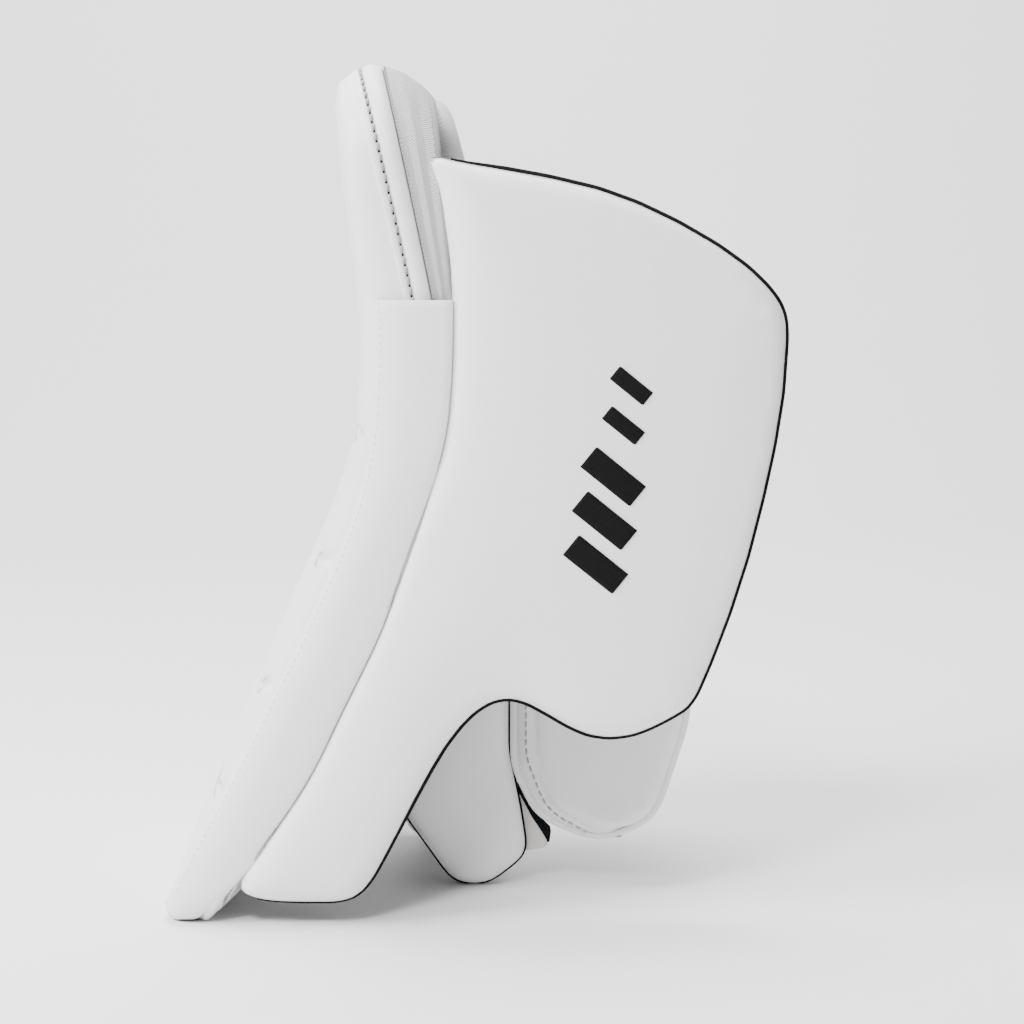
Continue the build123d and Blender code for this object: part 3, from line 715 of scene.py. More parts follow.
# the toe cap closes the bottom edge
toe = []
toe_y = np.linspace(NEAR_Y + 3, FAR_Y - 3, 60)
toe_profile = [(-0.03, 15), (-0.035, 9), (-0.02, 4), (0.02, 1.0), (0.1, 0.15), (0.24, 0.0), (0.5, 0.0), (0.69, 0.0),
               (0.85, 0.2), (0.97, 0.9), (1.02, 3.0), (1.03, 8), (1.03, 14)]
for y in toe_y:
    edge = min(y - NEAR_Y, FAR_Y - y)
    up = 13 - math.sqrt(max(13 ** 2 - (13 - min(edge, 13)) ** 2, 0))
    toe.append([board_point(y, z + up, s) for s, z in toe_profile])
toe = np.array(toe)
uv = np.stack(np.meshgrid(toe_y, np.arange(len(toe_profile)) * 4.0, indexing="ij"), -1) * MM
toe_cap = piece("toe_cap", toe.reshape(-1, 3), grid_faces(len(toe_y), len(toe_profile)), "board", "edge_pu",
                ["toe_cap"], uv=uv.reshape(-1, 2))
thicken(toe_cap, 0.8, offset=0.0)
stitches("toe_stitch", toe[4:-4, 1], np.tile([[-1.0, 0, 0]], (len(toe_y) - 8, 1)), "board", 2.2, 1.2, 0.3,
         THREAD_WHITE, "edge_pu")

# the back of the board
verts, tris, loop, d = fill(board_outline(7.0), rings=(1, 2.2, 4), step=8.0)
rear = board_point(verts[:, 0], verts[:, 1], 1.0 + 0.012 * (1 - quarter(d, 4)))
inner = board_point(verts[:, 0], verts[:, 1], np.full(len(verts), 0.93))
n = len(verts)
faces = [f[::-1] for f in tris] + [tuple(i + n for i in f) for f in tris]
faces += [(b, b + n, a + n, a) for a, b in zip(loop, loop[1:] + loop[:1])]
piece("rear_cover", np.concatenate([rear, inner]), faces, "board", "grey_fabric", ["rear_cover", "rear_foam"],
      uv=np.concatenate([verts, verts]) * MM)

# the pad between the forearm and the board
PAD_LOW, PAD_HIGH = 166.0, BOARD_TOP + 1
pad_path = anticlockwise(rounded_path([(HAND_Y - 59, PAD_LOW, 22), (HAND_Y + 59, PAD_LOW, 22),
                                       (HAND_Y + 59, PAD_HIGH, 20), (HAND_Y - 59, PAD_HIGH, 20)], step=3))
pad_seams = [line((HAND_Y - 59, 318), (HAND_Y + 59, 318)), line((HAND_Y, 318), (HAND_Y, 366)),
             line((HAND_Y - 59, 268), (HAND_Y + 59, 268)), line((HAND_Y - 59, 218), (HAND_Y + 59, 218))]
verts, tris, loop, d = fill(pad_path, step=4.5, seams=pad_seams)
depth = 0.33 * (1 - quarter(d, 9.0)) - 0.09 * groove(verts, pad_seams, 2.6)
depth *= 0.35 + 0.65 * np.clip((PAD_HIGH - verts[:, 1]) / 42, 0, 1) ** 0.8
outer = board_point(verts[:, 0], verts[:, 1], 1.02 + depth)
inner = board_point(verts[:, 0], verts[:, 1], np.full(len(verts), 1.0))
n = len(verts)
faces = [f[::-1] for f in tris] + [tuple(i + n for i in f) for f in tris]
faces += [(b, b + n, a + n, a) for a, b in zip(loop, loop[1:] + loop[:1])]
forearm_pad = piece("forearm_pad", np.concatenate([outer, inner]), faces, "board", "grey_fabric", ["forearm_pad"],
                    uv=np.concatenate([verts, verts]) * MM)
puff(forearm_pad, np.concatenate([(d < 3) | (groove(verts, pad_seams, 3.0) > 0.5), np.ones(n, bool)]), cap=2.5)


# ---- side board ----------------------------------------------------------------------------
SIDE_EDGE = np.array([
    (103.0, 330.9), (109.0, 328.6), (113.2, 327.5), (121.5, 325.9), (133.9, 323.8), (154.7, 320.1), (175.6, 315.2),
    (192.3, 309.2), (209.1, 301.3), (226.0, 291.6), (238.7, 282.6), (247.2, 274.6), (252.8, 267.4), (255.2, 260.6),
    (255.6, 252.2), (254.2, 229.0), (250.8, 206.5), (246.2, 184.5), (239.9, 158.9), (232.3, 134.5), (224.6, 113.7),
    (218.6, 99.4), (214.6, 93.6), (206.6, 88.9), (198.2, 84.7), (190.6, 82.0), (180.9, 80.9), (171.6, 82.4),
    (163.0, 86.4), (153.4, 92.2), (145.5, 96.6), (138.1, 98.6), (130.4, 97.3), (123.1, 92.7), (116.7, 86.2),
    (110.3, 77.7), (103.8, 66.9), (97.2, 54.6), (90.9, 42.3), (84.6, 30.2), (79.4, 20.6), (74.6, 14.2), (69.3, 10.8),
    (62.0, 9.6), (47.9, 9.8), (37.5, 10.2), (29.5, 11.3), (24.6, 13.2), (20.9, 15.6), (19.0, 18.4),
])  # fmt: skip
seam_z = np.linspace(22.0, 327.5, 122)
seam_side = np.stack([junction_x(seam_z) + 0.25, seam_z], 1)
ring = np.concatenate([SIDE_EDGE, seam_side, SIDE_EDGE[:1]])
SIDE_LINE = resample(ring, 1.3, True)
SIDE_LINE = anticlockwise(sum(np.roll(SIDE_LINE, k, 0) * w for k, w in ((-3, 1), (-2, 2), (-1, 3), (0, 4), (1, 3),
                                                                       (2, 2), (3, 1))) / 16)
SIDE_LINE = resample(np.concatenate([SIDE_LINE, SIDE_LINE[:1]]), 2.6, True)
SIDE_LINE[:, 0] -= TOE


def shrink(outline, amount):
    """The outline drawn in, with the points that crowd in its corners taken out."""
    outline = anticlockwise(outline)
    p = outline - normals_2d(outline) * amount
    p = p[distance(p, outline, True) > amount * 0.96]
    return resample(np.concatenate([p, p[:1]]), 2.6, True)


cover_line = shrink(SIDE_LINE, 0.35)
side_cover = plate_pad("side_cover", cover_line, SIDE_OUT, SIDE_OUT + 7.4, SIDE_RIM + 1.0, 10.0, 2.2,
                                     "board", "face_pu", ["side_cover", "side_foam_outer", "side_stiffener"],
                                     step=5.5, swell=1.6)
# it sinks beside the band above the bend, where the band stands proud of it
for v in side_cover.data.vertices:
    if v.co.y < SIDE_RIM * MM:
        height, gap = v.co.z / MM, v.co.x / MM + TOE - float(junction_x(v.co.z / MM))
        sink = np.clip((height - 172) / 30, 0, 1) * np.clip((332 - height) / 25, 0, 1)
        v.co.y += 2.6 * sink * math.exp(-((max(gap, 0) / 6.0) ** 2)) * MM
plate_pad("side_lining", shrink(SIDE_LINE, 1.2), SIDE_IN + 0.2, SIDE_RIM + 2.5, SIDE_RIM + 1.2, 4.0, 0.3, "board", "black_nylon",
          ["side_lining", "side_foam_inner"], step=8.0, swell=0)

# the binding folded over the side board's free edge
normal = normals_2d(SIDE_LINE)
free = (SIDE_LINE[:, 0] > junction_x(SIDE_LINE[:, 1]) - TOE + 8.0) | (SIDE_LINE[:, 1] < 12)
start = int(np.flatnonzero(free & ~np.roll(free, 1))[0])
order = np.roll(np.arange(len(SIDE_LINE)), -start)
free = free[order]
run_to = int(np.argmin(free)) if not free.all() else len(free)
bind = SIDE_LINE[order][:run_to]
bind_normal = normal[order][:run_to]
profile = [(SIDE_RIM + 0.9, -2.2), (SIDE_RIM + 0.6, -0.6), (SIDE_RIM + 1.0, 0.5), (SIDE_RIM + 2.0, 0.85),
           (SIDE_RIM + 3.6, 0.9), (SIDE_RIM + 5.2, 0.5), (SIDE_RIM + 6.6, -0.4), (SIDE_RIM + 7.5, -1.6),
           (SIDE_RIM + 7.7, -3.5), (SIDE_RIM + 7.6, -7.5)]
# it narrows away where it starts at the top and where it ends at the toe
taper = np.clip(np.minimum(np.arange(len(bind)), np.arange(len(bind))[::-1]) / 9, 0.1, 1)[:, None]
taper *= np.interp(bind[:, 1], (8, 14, 60), (0.35, 0.5, 1))[:, None]
rows = [np.stack([bind[:, 0], np.full(len(bind), y), bind[:, 1]], 1)
        + np.stack([bind_normal[:, 0], bind_normal[:, 0] * 0, bind_normal[:, 1]], 1) * (o if o < 0 else o * taper)
        for y, o in profile]
verts = np.stack(rows, 1)
run = np.arange(len(bind)) * 2.6
uv = np.stack(np.meshgrid(run, np.cumsum([0, 1.3, 1, 1.3, 2, 1.8, 1.5, 1.5, 1.9, 4]), indexing="ij"), -1) * MM
binding = piece("side_binding", verts.reshape(-1, 3), [f[::-1] for f in grid_faces(len(bind), len(profile))], "board",
                "black_binding", ["side_binding"], uv=uv.reshape(-1, 2))
thicken(binding, 0.6)
row = verts[:, 8]
stitches("binding_stitch", row, np.tile([[0, 1.0, 0]], (len(row), 1)), "board", 2.0, 1.1, 0.28, THREAD_BLACK,
         "black_binding")


def surface_y(obj, x, z):
    """How near the camera's side a pad's face lies under points of the side view, in mm."""
    mesh = obj.data
    tree = BVHTree.FromPolygons([v.co for v in mesh.vertices], [tuple(f.vertices) for f in mesh.polygons])
    hits = [tree.ray_cast(Vector((a * MM, -1.0, b * MM)), Vector((0, 1, 0)))[0] for a, b in zip(x, z)]
    found = [k for k, hit in enumerate(hits) if hit is not None]
    return np.interp(np.arange(len(hits)), found, [hits[k].y / MM for k in found])


# the embroidered mark: plain slanted bars, a little raised, with satin stitch across each
def mark_piece():
    centre, lean = np.array([182.0 - TOE, 198.0]), math.radians(79)
    along = np.array([math.cos(lean), math.sin(lean)])
    across = np.array([-math.sin(lean), math.cos(lean)])
    verts, faces, uv = [], [], []

    def patch(outline_uv):
        path = anticlockwise(np.array(outline_uv, float))
        path = resample(np.concatenate([path, path[:1]]), 1.3, True)
        v2, tris_, loop_, d_ = fill(path, rings=(0.35, 0.9), step=1.6)
        flat = centre + v2[:, :1] * along + v2[:, 1:] * across
        y_ = surface_y(side_cover, flat[:, 0], flat[:, 1]) - 0.25 - 0.75 * (1 - quarter(d_, 1.6))
        base = len(verts)
        low_ = base + len(v2)
        verts.extend(np.stack([flat[:, 0], y_, flat[:, 1]], 1))
        verts.extend(np.stack([flat[:, 0], y_ + 1.6, flat[:, 1]], 1))
        uv.extend(v2)
        uv.extend(v2)
        ref = np.array(verts[base:base + len(v2)])
        t0 = tris_[0]
        up = np.cross(ref[t0[1]] - ref[t0[0]], ref[t0[2]] - ref[t0[0]])[1] < 0
        for f in tris_:
            g = tuple(base + i for i in (f if up else f[::-1]))
            faces.append(g)
            faces.append(tuple(i + len(v2) for i in g[::-1]))
        for a, b in zip(loop_, loop_[1:] + loop_[:1]):
            q = (base + a, low_ + a, low_ + b, base + b)
            faces.append(q if up else q[::-1])

    for outline_uv in MARK:
        patch(outline_uv)
    return piece("side_mark", np.array(verts), faces, "board", "thread", ["side_mark"], uv=np.array(uv) * MM)


def bar(centre_u, lean_deg, length, width):
    c, s = math.cos(math.radians(lean_deg)), math.sin(math.radians(lean_deg))
    half = [(-length / 2, -width / 2), (length / 2, -width / 2), (length / 2, width / 2), (-length / 2, width / 2)]
    return [(centre_u + u * c - v * s, u * s + v * c) for u, v in half]


MARK = [bar(u, 62, 27, 11) for u in (-41, -22, -3)]
MARK += [bar(u, 62, 18, 7) for u in (19, 36)]
mark_piece()


# ---- guards --------------------------------------------------------------------------------
INDEX_CORNERS = [
    (88.0, 106.0, 10), (90.0, 36.0, 16), (115.0, 0.0, 12), (131.0, 0.0, 10),
    (149.0, 14.0, 8), (145.5, 37.0, 20), (140.3, 62.0, 30), (140.3, 106.0, 10),
]  # fmt: skip
LITTLE_CORNERS = [
    (82.0, 98.0, 8), (84.0, 34.0, 14), (106.0, 0.0, 10), (126.0, 0.0, 8),
    (134.0, 14.0, 8), (111.0, 33.0, 10), (102.0, 60.0, 20), (104.0, 98.0, 8),
]  # fmt: skip
THUMB_CORNERS = [
    (142.0, 119.0, 16), (142.0, 55.0, 22), (153.0, 32.0, 18), (182.0, 19.5, 26),
    (207.0, 30.0, 20), (222.0, 76.0, 60), (222.0, 119.0, 22),
]  # fmt: skip


def from_corners(corners, step=2.4, ease=7):
    """A guard's outline: the CAD's corners eased into one smooth curve."""
    path = anticlockwise(rounded_path(corners, step=1.2))
    weight = np.exp(-((np.arange(-ease, ease + 1) / (ease * 0.6)) ** 2))
    path = sum(np.roll(path, k, 0) * w for k, w in zip(range(-ease, ease + 1), weight)) / weight.sum()
    path = resample(np.concatenate([path, path[:1]]), step, True)
    path[:, 0] -= TOE
    return path


def rim(name, outline, y0, y1, body, slot, replaces=(), proud=0.5, inward=3.0, thick=0.8):
    """A folded edge binding round a flat outline, from y0 to y1."""
    outline = anticlockwise(outline)
    normal = normals_2d(outline)
    s = 1 if y1 > y0 else -1
    span = abs(y1 - y0)
    profile = [(-0.2, -inward), (-0.3, -1.0), (0.0, -0.1), (span * 0.3, proud), (span * 0.7, proud),
               (span, -0.1), (span + 0.3, -1.0), (span + 0.2, -inward)]
    rows = [np.stack([outline[:, 0] + normal[:, 0] * o, np.full(len(outline), y0 + s * a),
                      outline[:, 1] + normal[:, 1] * o], 1) for a, o in profile]
    verts = np.stack(rows, 1)
    run = np.arange(len(outline)) * 2.4
    uv = np.stack(np.meshgrid(run, np.arange(len(profile)) * 1.2, indexing="ij"), -1) * MM
    faces = grid_faces(len(outline), len(profile), wrap_rows=True)
    if s > 0:
        faces = [f[::-1] for f in faces]
    obj = piece(name, verts.reshape(-1, 3), faces, body, slot, replaces, uv=uv.reshape(-1, 2))
    return thicken(obj, thick)


def guard(name, corners, body, inner_y, outer_y, seams=(), dome=2.6, edge="black_binding"):
    """A stuffed finger guard with a black lining on the hand's side."""
    outline = from_corners(corners)
    s = 1 if inner_y > outer_y else -1
    face = shrink(outline, 0.5 if edge == "black_binding" else 1.3)
    y_rim = inner_y - s * 3.6
    obj = plate_pad(f"{name}_cover", face, outer_y + s * 1.2, y_rim, inner_y - s * 2.4, 7.0, dome, body,
                             "white_pad", [f"{name}_cover", f"{name}_foam"], seams=seams, seam_depth=2.2, step=4.2,
                             swell=1.6)
    plate_pad(f"{name}_lining", shrink(outline, 0.6), inner_y - s * 0.1, inner_y - s * 1.0, inner_y - s * 2.4, 2.0, 0.0,
              body, "black_nylon", [f"{name}_lining"], step=7.0, swell=0)
    if edge == "black_binding":
        rim(f"{name}_edge", outline, inner_y - s * 2.9, inner_y - s * 0.3, body, edge, proud=0.0, inward=2.6, thick=0.5)
    else:
        rim(f"{name}_edge", outline, inner_y - s * 5.4, inner_y - s * 0.3, body, edge, proud=0.5, inward=2.2, thick=0.8)
    return obj


index_box, little_box, thumb_box = (mm_box(f"{n}_guard_lining") for n in ("index", "little", "thumb"))
guard("index_guard", INDEX_CORNERS, "board", index_box[1][1], mm_box("index_guard_cover")[0][1])
guard("little_guard", LITTLE_CORNERS, "board", little_box[0][1], mm_box("little_guard_cover")[1][1], dome=2.0)
welt = line((151.5 - TOE, 121), (151.5 - TOE, 62, 24), (160.0 - TOE, 39, 22), (181.0 - TOE, 26.5, 26),
            (200.0 - TOE, 26.0))
thumb_surface = guard("thumb_guard", THUMB_CORNERS, "thumb", thumb_box[1][1], mm_box("thumb_guard_cover")[0][1],
                      seams=[welt[:-2]], edge="white_pad")
row = welt[1:-3] + normals_2d(welt[1:-3], closed=False) * 4.0
p = np.stack([row[:, 0], surface_y(thumb_surface, row[:, 0], row[:, 1]) - 0.2, row[:, 1]], 1)
stitches("thumb_guard_stitch", p, np.tile([[0, -1.0, 0]], (len(p), 1)), "thumb", 2.9, 1.2, 0.45, THREAD_LIGHT,
         "white_pad")

# the end of the index stall shows between the two guards
tip_y = index_box[1][1] + 0.3
tip = line((141 - TOE, 52), (151.5 - TOE, 33.0), (160 - TOE, 24.5), (159 - TOE, 17.6), (155 - TOE, 17), (144 - TOE, 20),
           closed=True)
plate_pad("index_tip_lining", tip, tip_y + 2.0, tip_y + 2.4, tip_y + 3.2, 1.0, 0.0, "board", "black_nylon", step=4.0,
          swell=0)
tip = line((139 - TOE, 49), (144.0 - TOE, 43), (150.8 - TOE, 30), (154.9 - TOE, 23.8), (158.2 - TOE, 18.2),
           (157.8 - TOE, 15.6), (148.2 - TOE, 14.0), (141 - TOE, 14.0), closed=True)
plate_pad("index_tip", tip, tip_y, tip_y + 0.6, tip_y + 2.2, 1.2, 0.3, "board", "palm_leather", step=4.0,
          swell=0)

# ---- hand ----------------------------------------------------------------------------------
pad_outline = line((0.6, 24, 0), (33.4, 43, 8), (33.4, -36, 12), (7, -78, 3), (0.6, -79, 0), closed=True)
hx, hz = hand(pad_outline[:, 0], pad_outline[:, 1])
outline = anticlockwise(np.stack([hx, hz], 1))


def hand_line(*points):
    flat = line(*points)
    x_, z_ = hand(flat[:, 0], flat[:, 1])
    return np.stack([x_, z_], 1)


def block_pad(name, outline, y0, y1, body, slot, replaces, radius=7.0, channels=(), step=5.0, swell=2.0):
    """A stuffed block across the hand: an outline in the side view, from y0 to y1."""
    middle = (y0 + y1) / 2
    half = (y1 - y0) / 2
    columns = np.concatenate([np.linspace(0, 1, 5)[:-1] * radius, np.arange(radius, half, step)])
    side = np.unique(np.concatenate([y0 + columns, y1 - columns, [middle]]))
    loops = []
    outline = anticlockwise(outline)
    normal = normals_2d(outline)
    for y in side:
        edge = min(y - y0, y1 - y)
        inset = radius * quarter(np.array([edge]), radius)[0]
        for channel in channels:
            inset += 2.2 * math.exp(-(((y - channel) / 2.6) ** 2))
        q = outline - normal * inset
        loops.append(np.stack([q[:, 0], np.full(len(q), y), q[:, 1]], 1))
    n = len(outline)
    verts = np.concatenate(loops)
    faces = []
    for i in range(len(loops) - 1):
        for j in range(n):
            a, b = i * n + j, i * n + (j + 1) % n
            faces.append((a, b, b + n, a + n))
    caps = []
    for i, flip in ((0, False), (len(loops) - 1, True)):
        centre = len(verts) + len(caps)
        caps.append(loops[i].mean(0))
        for j in range(n):
            f = (i * n + j, i * n + (j + 1) % n, centre)
            faces.append(f if flip else f[::-1])
    verts = np.concatenate([verts, np.array(caps)])
    obj = piece(name, verts, faces, body, slot, replaces)
    mod = obj.modifiers.new("even", "REMESH")
    mod.mode, mod.voxel_size, mod.use_smooth_shade = "VOXEL", 0.0042, True
    shaped = bpy.data.meshes.new_from_object(obj.evaluated_get(bpy.context.evaluated_depsgraph_get()))
    obj.modifiers.remove(mod)
    obj.data = shaped
    if not shaped.materials:
        shaped.materials.append(MATERIALS[slot])
    co = np.empty(len(shaped.vertices) * 3)
    shaped.vertices.foreach_get("co", co)
    co = co.reshape(-1, 3) / MM
    layer = shaped.uv_layers.new(name="UVMap") if not shaped.uv_layers else shaped.uv_layers[0]
    corner = np.empty(len(shaped.loops), int)
    shaped.loops.foreach_get("vertex_index", corner)
    along = np.stack([co[:, 1], co[:, 2] * 0.9 + co[:, 0] * 0.4], 1) * MM
    layer.data.foreach_set("uv", along[corner].astype(np.float32).ravel())
    return obj, co


backhand, co = block_pad("backhand_pad", outline, THUMB_SIDE + 0.5, LITTLE_SIDE - 0.5, "board", "grey_fabric",
                         ["backhand_pad"], radius=6.0,
                         channels=[HAND_Y + k * 21 for k in (-1, 0, 1)])
nn = (co[:, 0] + TOE - HAND_X) * UP[1] - (co[:, 2] - HAND_Z) * UP[0]
puff(backhand, (nn < 4) | (nn > 31), cap=1.6)
soften(backhand)

# the palm: one bent piece of leather from the cuff to the fingers, with a hole for the thumb
palm_path = line((80.6, 102.0), (63.3, 47.0, 30), (63.3, -17.0, 10), (56.4, -33.5), step=2.4)
palm_y = np.linspace(THUMB_SIDE + 0.6, LITTLE_SIDE - 0.6, 36)
normal = normals_2d(palm_path, closed=False)
run = np.concatenate([[0], np.cumsum(np.linalg.norm(np.diff(palm_path, axis=0), axis=1))])
grid = []
for i, (q, m) in enumerate(zip(palm_path, normal)):
    for y in palm_y:
        edge = min(y - palm_y[0], palm_y[-1] - y)
        crease = 0.35 * math.sin(run[i] * 0.33 + 0.9 * math.sin(y * 0.09)) * (1 - math.exp(-edge / 9))
        crease += 0.25 * math.sin(run[i] * 0.12 + y * 0.21)
        n_, v_ = q + m * crease
        x_, z_ = hand(n_, v_)
        grid.append((x_, y, z_))
grid = np.array(grid)
rows_, cols_ = len(palm_path), len(palm_y)
faces = []
for f in grid_faces(rows_, cols_):
    c = grid[list(f)].mean(0)
    v_ = (c[0] + TOE - HAND_X) * UP[0] + (c[2] - HAND_Z) * UP[1]
    hole = 18.5 < v_ < 41.5 and c[1] < THUMB_SIDE + 23.5 and c[1] > THUMB_SIDE + 2.2
    if not hole:
        faces.append(f)
uv = np.stack(np.meshgrid(run, palm_y, indexing="ij"), -1).reshape(-1, 2) * MM
palm = piece("palm_leather", grid, faces, "board", "palm_leather", ["palm_leather"], uv=uv)
thicken(palm, 2.0, offset=0.0)
soften(palm)
for k, inset in enumerate((3.0, 5.4)):
    for side_, y in (("near", palm_y[0] + inset), ("far", palm_y[-1] - inset)):
        x_, z_ = hand(palm_path[2:-1, 0], palm_path[2:-1, 1])
        p = np.stack([x_, np.full(len(x_), y), z_], 1)
        m2 = normal[2:-1]
        out = np.stack([UP[1] * m2[:, 0] + UP[0] * m2[:, 1], np.zeros(len(m2)), -UP[0] * m2[:, 0] + UP[1] * m2[:, 1]], 1)
        if out[0, 0] < 0:
            out = -out
        stitches(f"palm_stitch_{side_}_{k}", p + out * 1.1, out, "board", 2.4, 1.2, 0.28, THREAD_WHITE, "palm_leather")

for name, y0, y1 in (("thumb_side_gusset", THUMB_SIDE + 0.2, THUMB_SIDE + 1.9),
                     ("little_side_gusset", LITTLE_SIDE - 0.2, LITTLE_SIDE - 1.9)):
    flat = line((33, -30, 0), (33, 36, 0), (61.5, 45, 0), (61.5, -16, 0), (55, -30, 0), closed=True)
    x_, z_ = hand(flat[:, 0], flat[:, 1])
    plate_pad(name, np.stack([x_, z_], 1), y0, (y0 + y1) / 2, y1, 1.2, 0.2, "board", "palm_leather", [name],
              step=6.0, swell=0)


# ---- fingers ---------------------------------------------------------------------------------
GRIP = np.array([72.0, -38.0])
CURL = math.radians(150)


def curl_frame(theta):
    """Centre and outward direction of a curled finger at an angle from its knuckle, in hand axes."""
    radial = np.array([-math.cos(theta), -math.sin(theta)])
    return GRIP + radial * 28.0, radial


def round_section(phi, deep, wide, power=0.82):
    c, s = math.cos(phi), math.sin(phi)
    return deep * math.copysign(abs(c) ** power, c), wide * math.copysign(abs(s) ** power, s)


def finger_shell(name, y, body, phis, slot, replaces, lift, thick, creases):
    thetas = np.linspace(0.0, CURL, 64)
    rows = []
    for theta in thetas:
        centre, radial = curl_frame(theta)
        tip = max(0.0, (theta - (CURL - 0.30)) / 0.30)
        end = math.sqrt(max(1 - tip ** 2, 0.0))
        start = 1 - 0.05 * math.exp(-theta / 0.12)
        roll = 0.0
        for c in creases:
            roll += math.exp(-(((theta - c) / 0.055) ** 2))
        for phi in phis:
            back = max(math.cos(phi), 0)
            front_ = max(-math.cos(phi), 0)
            deep = (9.9 - 1.5 * roll * back - 0.9 * roll * front_) * end * start
            wide = (9.75 - 0.5 * roll) * end * start
            r, w = round_section(phi, deep + lift, wide + lift)
            q = centre + radial * r
            x_, z_ = hand(*q)
            rows.append((x_, y + w, z_))
    verts = np.array(rows)
    count = len(phis)
    uv = np.stack(np.meshgrid(thetas * 30, phis * 9, indexing="ij"), -1).reshape(-1, 2) * MM
    obj = piece(name, verts, [f[::-1] for f in grid_faces(len(thetas), count)], body, slot, replaces, uv=uv)
    thicken(obj, thick)
    soften(obj)
    return verts.reshape(len(thetas), count, 3)


for index, finger in enumerate(("index", "middle", "ring", "little")):
    low, high = mm_box(f"{finger}_finger_back")
    y = (low[1] + high[1]) / 2
    body = f"{finger}_finger"
    back_phi = np.linspace(-math.radians(112), math.radians(112), 33)
    palm_phi = np.linspace(math.radians(106), math.radians(254), 25)
    back = finger_shell(f"{finger}_finger_back", y, body, back_phi, "white_pad", [f"{finger}_finger_back"], 0.0, 1.6,
                        [0.52, 1.12, 1.75])
    finger_shell(f"{finger}_finger_palm", y, body, palm_phi, "palm_leather", [f"{finger}_finger_palm"], -0.45, 1.2,
                 [0.45, 0.9, 1.35, 1.8, 2.2])
    for k in (1, -2):
        edge = back[2:-7, k]
        centre_line = back[2:-7].mean(1)
        out = edge - centre_line
        stitches(f"{finger}_finger_stitch_{'a' if k == 1 else 'b'}", edge, out, body, 2.0, 1.1, 0.25, THREAD_WHITE,
                 "white_pad")
    # the soft sleeve that crosses the knuckle
    rows = []
    path = [((44, -22), (1.0, 0.0)), ((44, -28), (1.0, 0.0)), ((44, -33), (1.0, 0.0))]
    path += [(tuple(curl_frame(t)[0]), tuple(-curl_frame(t)[1])) for t in np.linspace(0.0, 0.5, 9)]
    for k, (c, axis_) in enumerate(path):
        ripple = 0.25 * math.sin(k * 2.1)
        for phi in np.linspace(0, 2 * math.pi, 28, endpoint=False):
            r, w = round_section(phi, 7.5 + ripple, 7.6 + ripple)
            x_, z_ = hand(c[0] + axis_[0] * r, c[1] + axis_[1] * r)
            rows.append((x_, y + w, z_))
    uv = np.stack(np.meshgrid(np.arange(len(path)) * 3.5, np.arange(28) * 1.7, indexing="ij"), -1).reshape(-1, 2) * MM
    sleeve = piece(f"{finger}_sleeve", np.array(rows), grid_faces(len(path), 28, wrap_columns=True), body,
                   "black_nylon", uv=uv, ride=False)
    thicken(sleeve, 0.8)
    a, b = hand(44, -30), hand(44.2, -44)
    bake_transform(sleeve)

# ---- thumb -----------------------------------------------------------------------------------
BASE = np.array([157.8 - TOE, 109.9])
LEAN = np.array([0.279, -0.960])
BACK = np.array([0.960, 0.279])
thumb_y = (mm_box("thumb_back")[0][1] + mm_box("thumb_back")[1][1]) / 2


def thumb_shell(name, phis, slot, replaces, lift, thick, start, creases):
    at = np.concatenate([np.linspace(start, 72, 40), 72 + 10.6 * np.sin(np.linspace(0.1, math.pi / 2, 12))])
    rows = []
    for x in at:
        end = math.sqrt(max(1 - max(0, (x - 72) / 10.7) ** 2, 0.0))
        near = math.sqrt(max(1 - max(0, -x / 10.9) ** 2, 0.05))
        roll = sum(math.exp(-(((x - c) / 1.9) ** 2)) for c in creases)
        for phi in phis:
            back = max(math.cos(phi), 0)
            deep = (10.8 - 1.6 * roll * back) * end * near
            r, w = round_section(phi, deep + lift, (10.7 - 0.4 * roll) * end * near + lift)
            q = BASE + LEAN * x + BACK * r
            rows.append((q[0], thumb_y + w, q[1]))
    uv = np.stack(np.meshgrid(at, phis * 10, indexing="ij"), -1).reshape(-1, 2) * MM
    obj = piece(name, np.array(rows), [f[::-1] for f in grid_faces(len(at), len(phis))], "thumb", slot, replaces,
                uv=uv)
    thicken(obj, thick)
    soften(obj)
    return np.array(rows).reshape(len(at), len(phis), 3)


thumb_back = thumb_shell("thumb_back", np.linspace(-math.radians(110), math.radians(110), 33), "white_pad",
                         ["thumb_back"], 0.0, 1.8, -10.2, [20, 44])
thumb_shell("thumb_palm", np.linspace(math.radians(105), math.radians(255), 25), "palm_leather", ["thumb_palm"],
            -0.5, 1.3, 12.5, [24, 36, 48, 60])
for k in (1, -2):
    edge = thumb_back[6:-9, k]
    out = edge - thumb_back[6:-9].mean(1)
    stitches(f"thumb_stitch_{'a' if k == 1 else 'b'}", edge, out, "thumb", 2.0, 1.1, 0.25, THREAD_WHITE, "white_pad")

# the soft sleeve from the palm's hole to the thumb
rows = []
sleeve_path = np.concatenate([np.linspace(-16, -9, 3), np.linspace(-7, 13, 9)])
for k, x in enumerate(sleeve_path):
    ripple = 0.3 * math.sin(k * 1.9)
    for phi in np.linspace(0, 2 * math.pi, 32, endpoint=False):
        r, w = round_section(phi, 8.6 + ripple, 8.7 + ripple)
        q = BASE + LEAN * x + BACK * r
        rows.append((q[0], thumb_y + w, q[1]))
uv = np.stack(np.meshgrid(sleeve_path, np.arange(32) * 1.7, indexing="ij"), -1).reshape(-1, 2) * MM
sleeve = piece("thumb_sleeve", np.array(rows), grid_faces(len(sleeve_path), 32, wrap_columns=True), "thumb",
               "black_nylon", uv=uv, ride=False)
thicken(sleeve, 0.8)
a, b = BASE - LEAN * 9, BASE + LEAN * 9
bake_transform(sleeve)

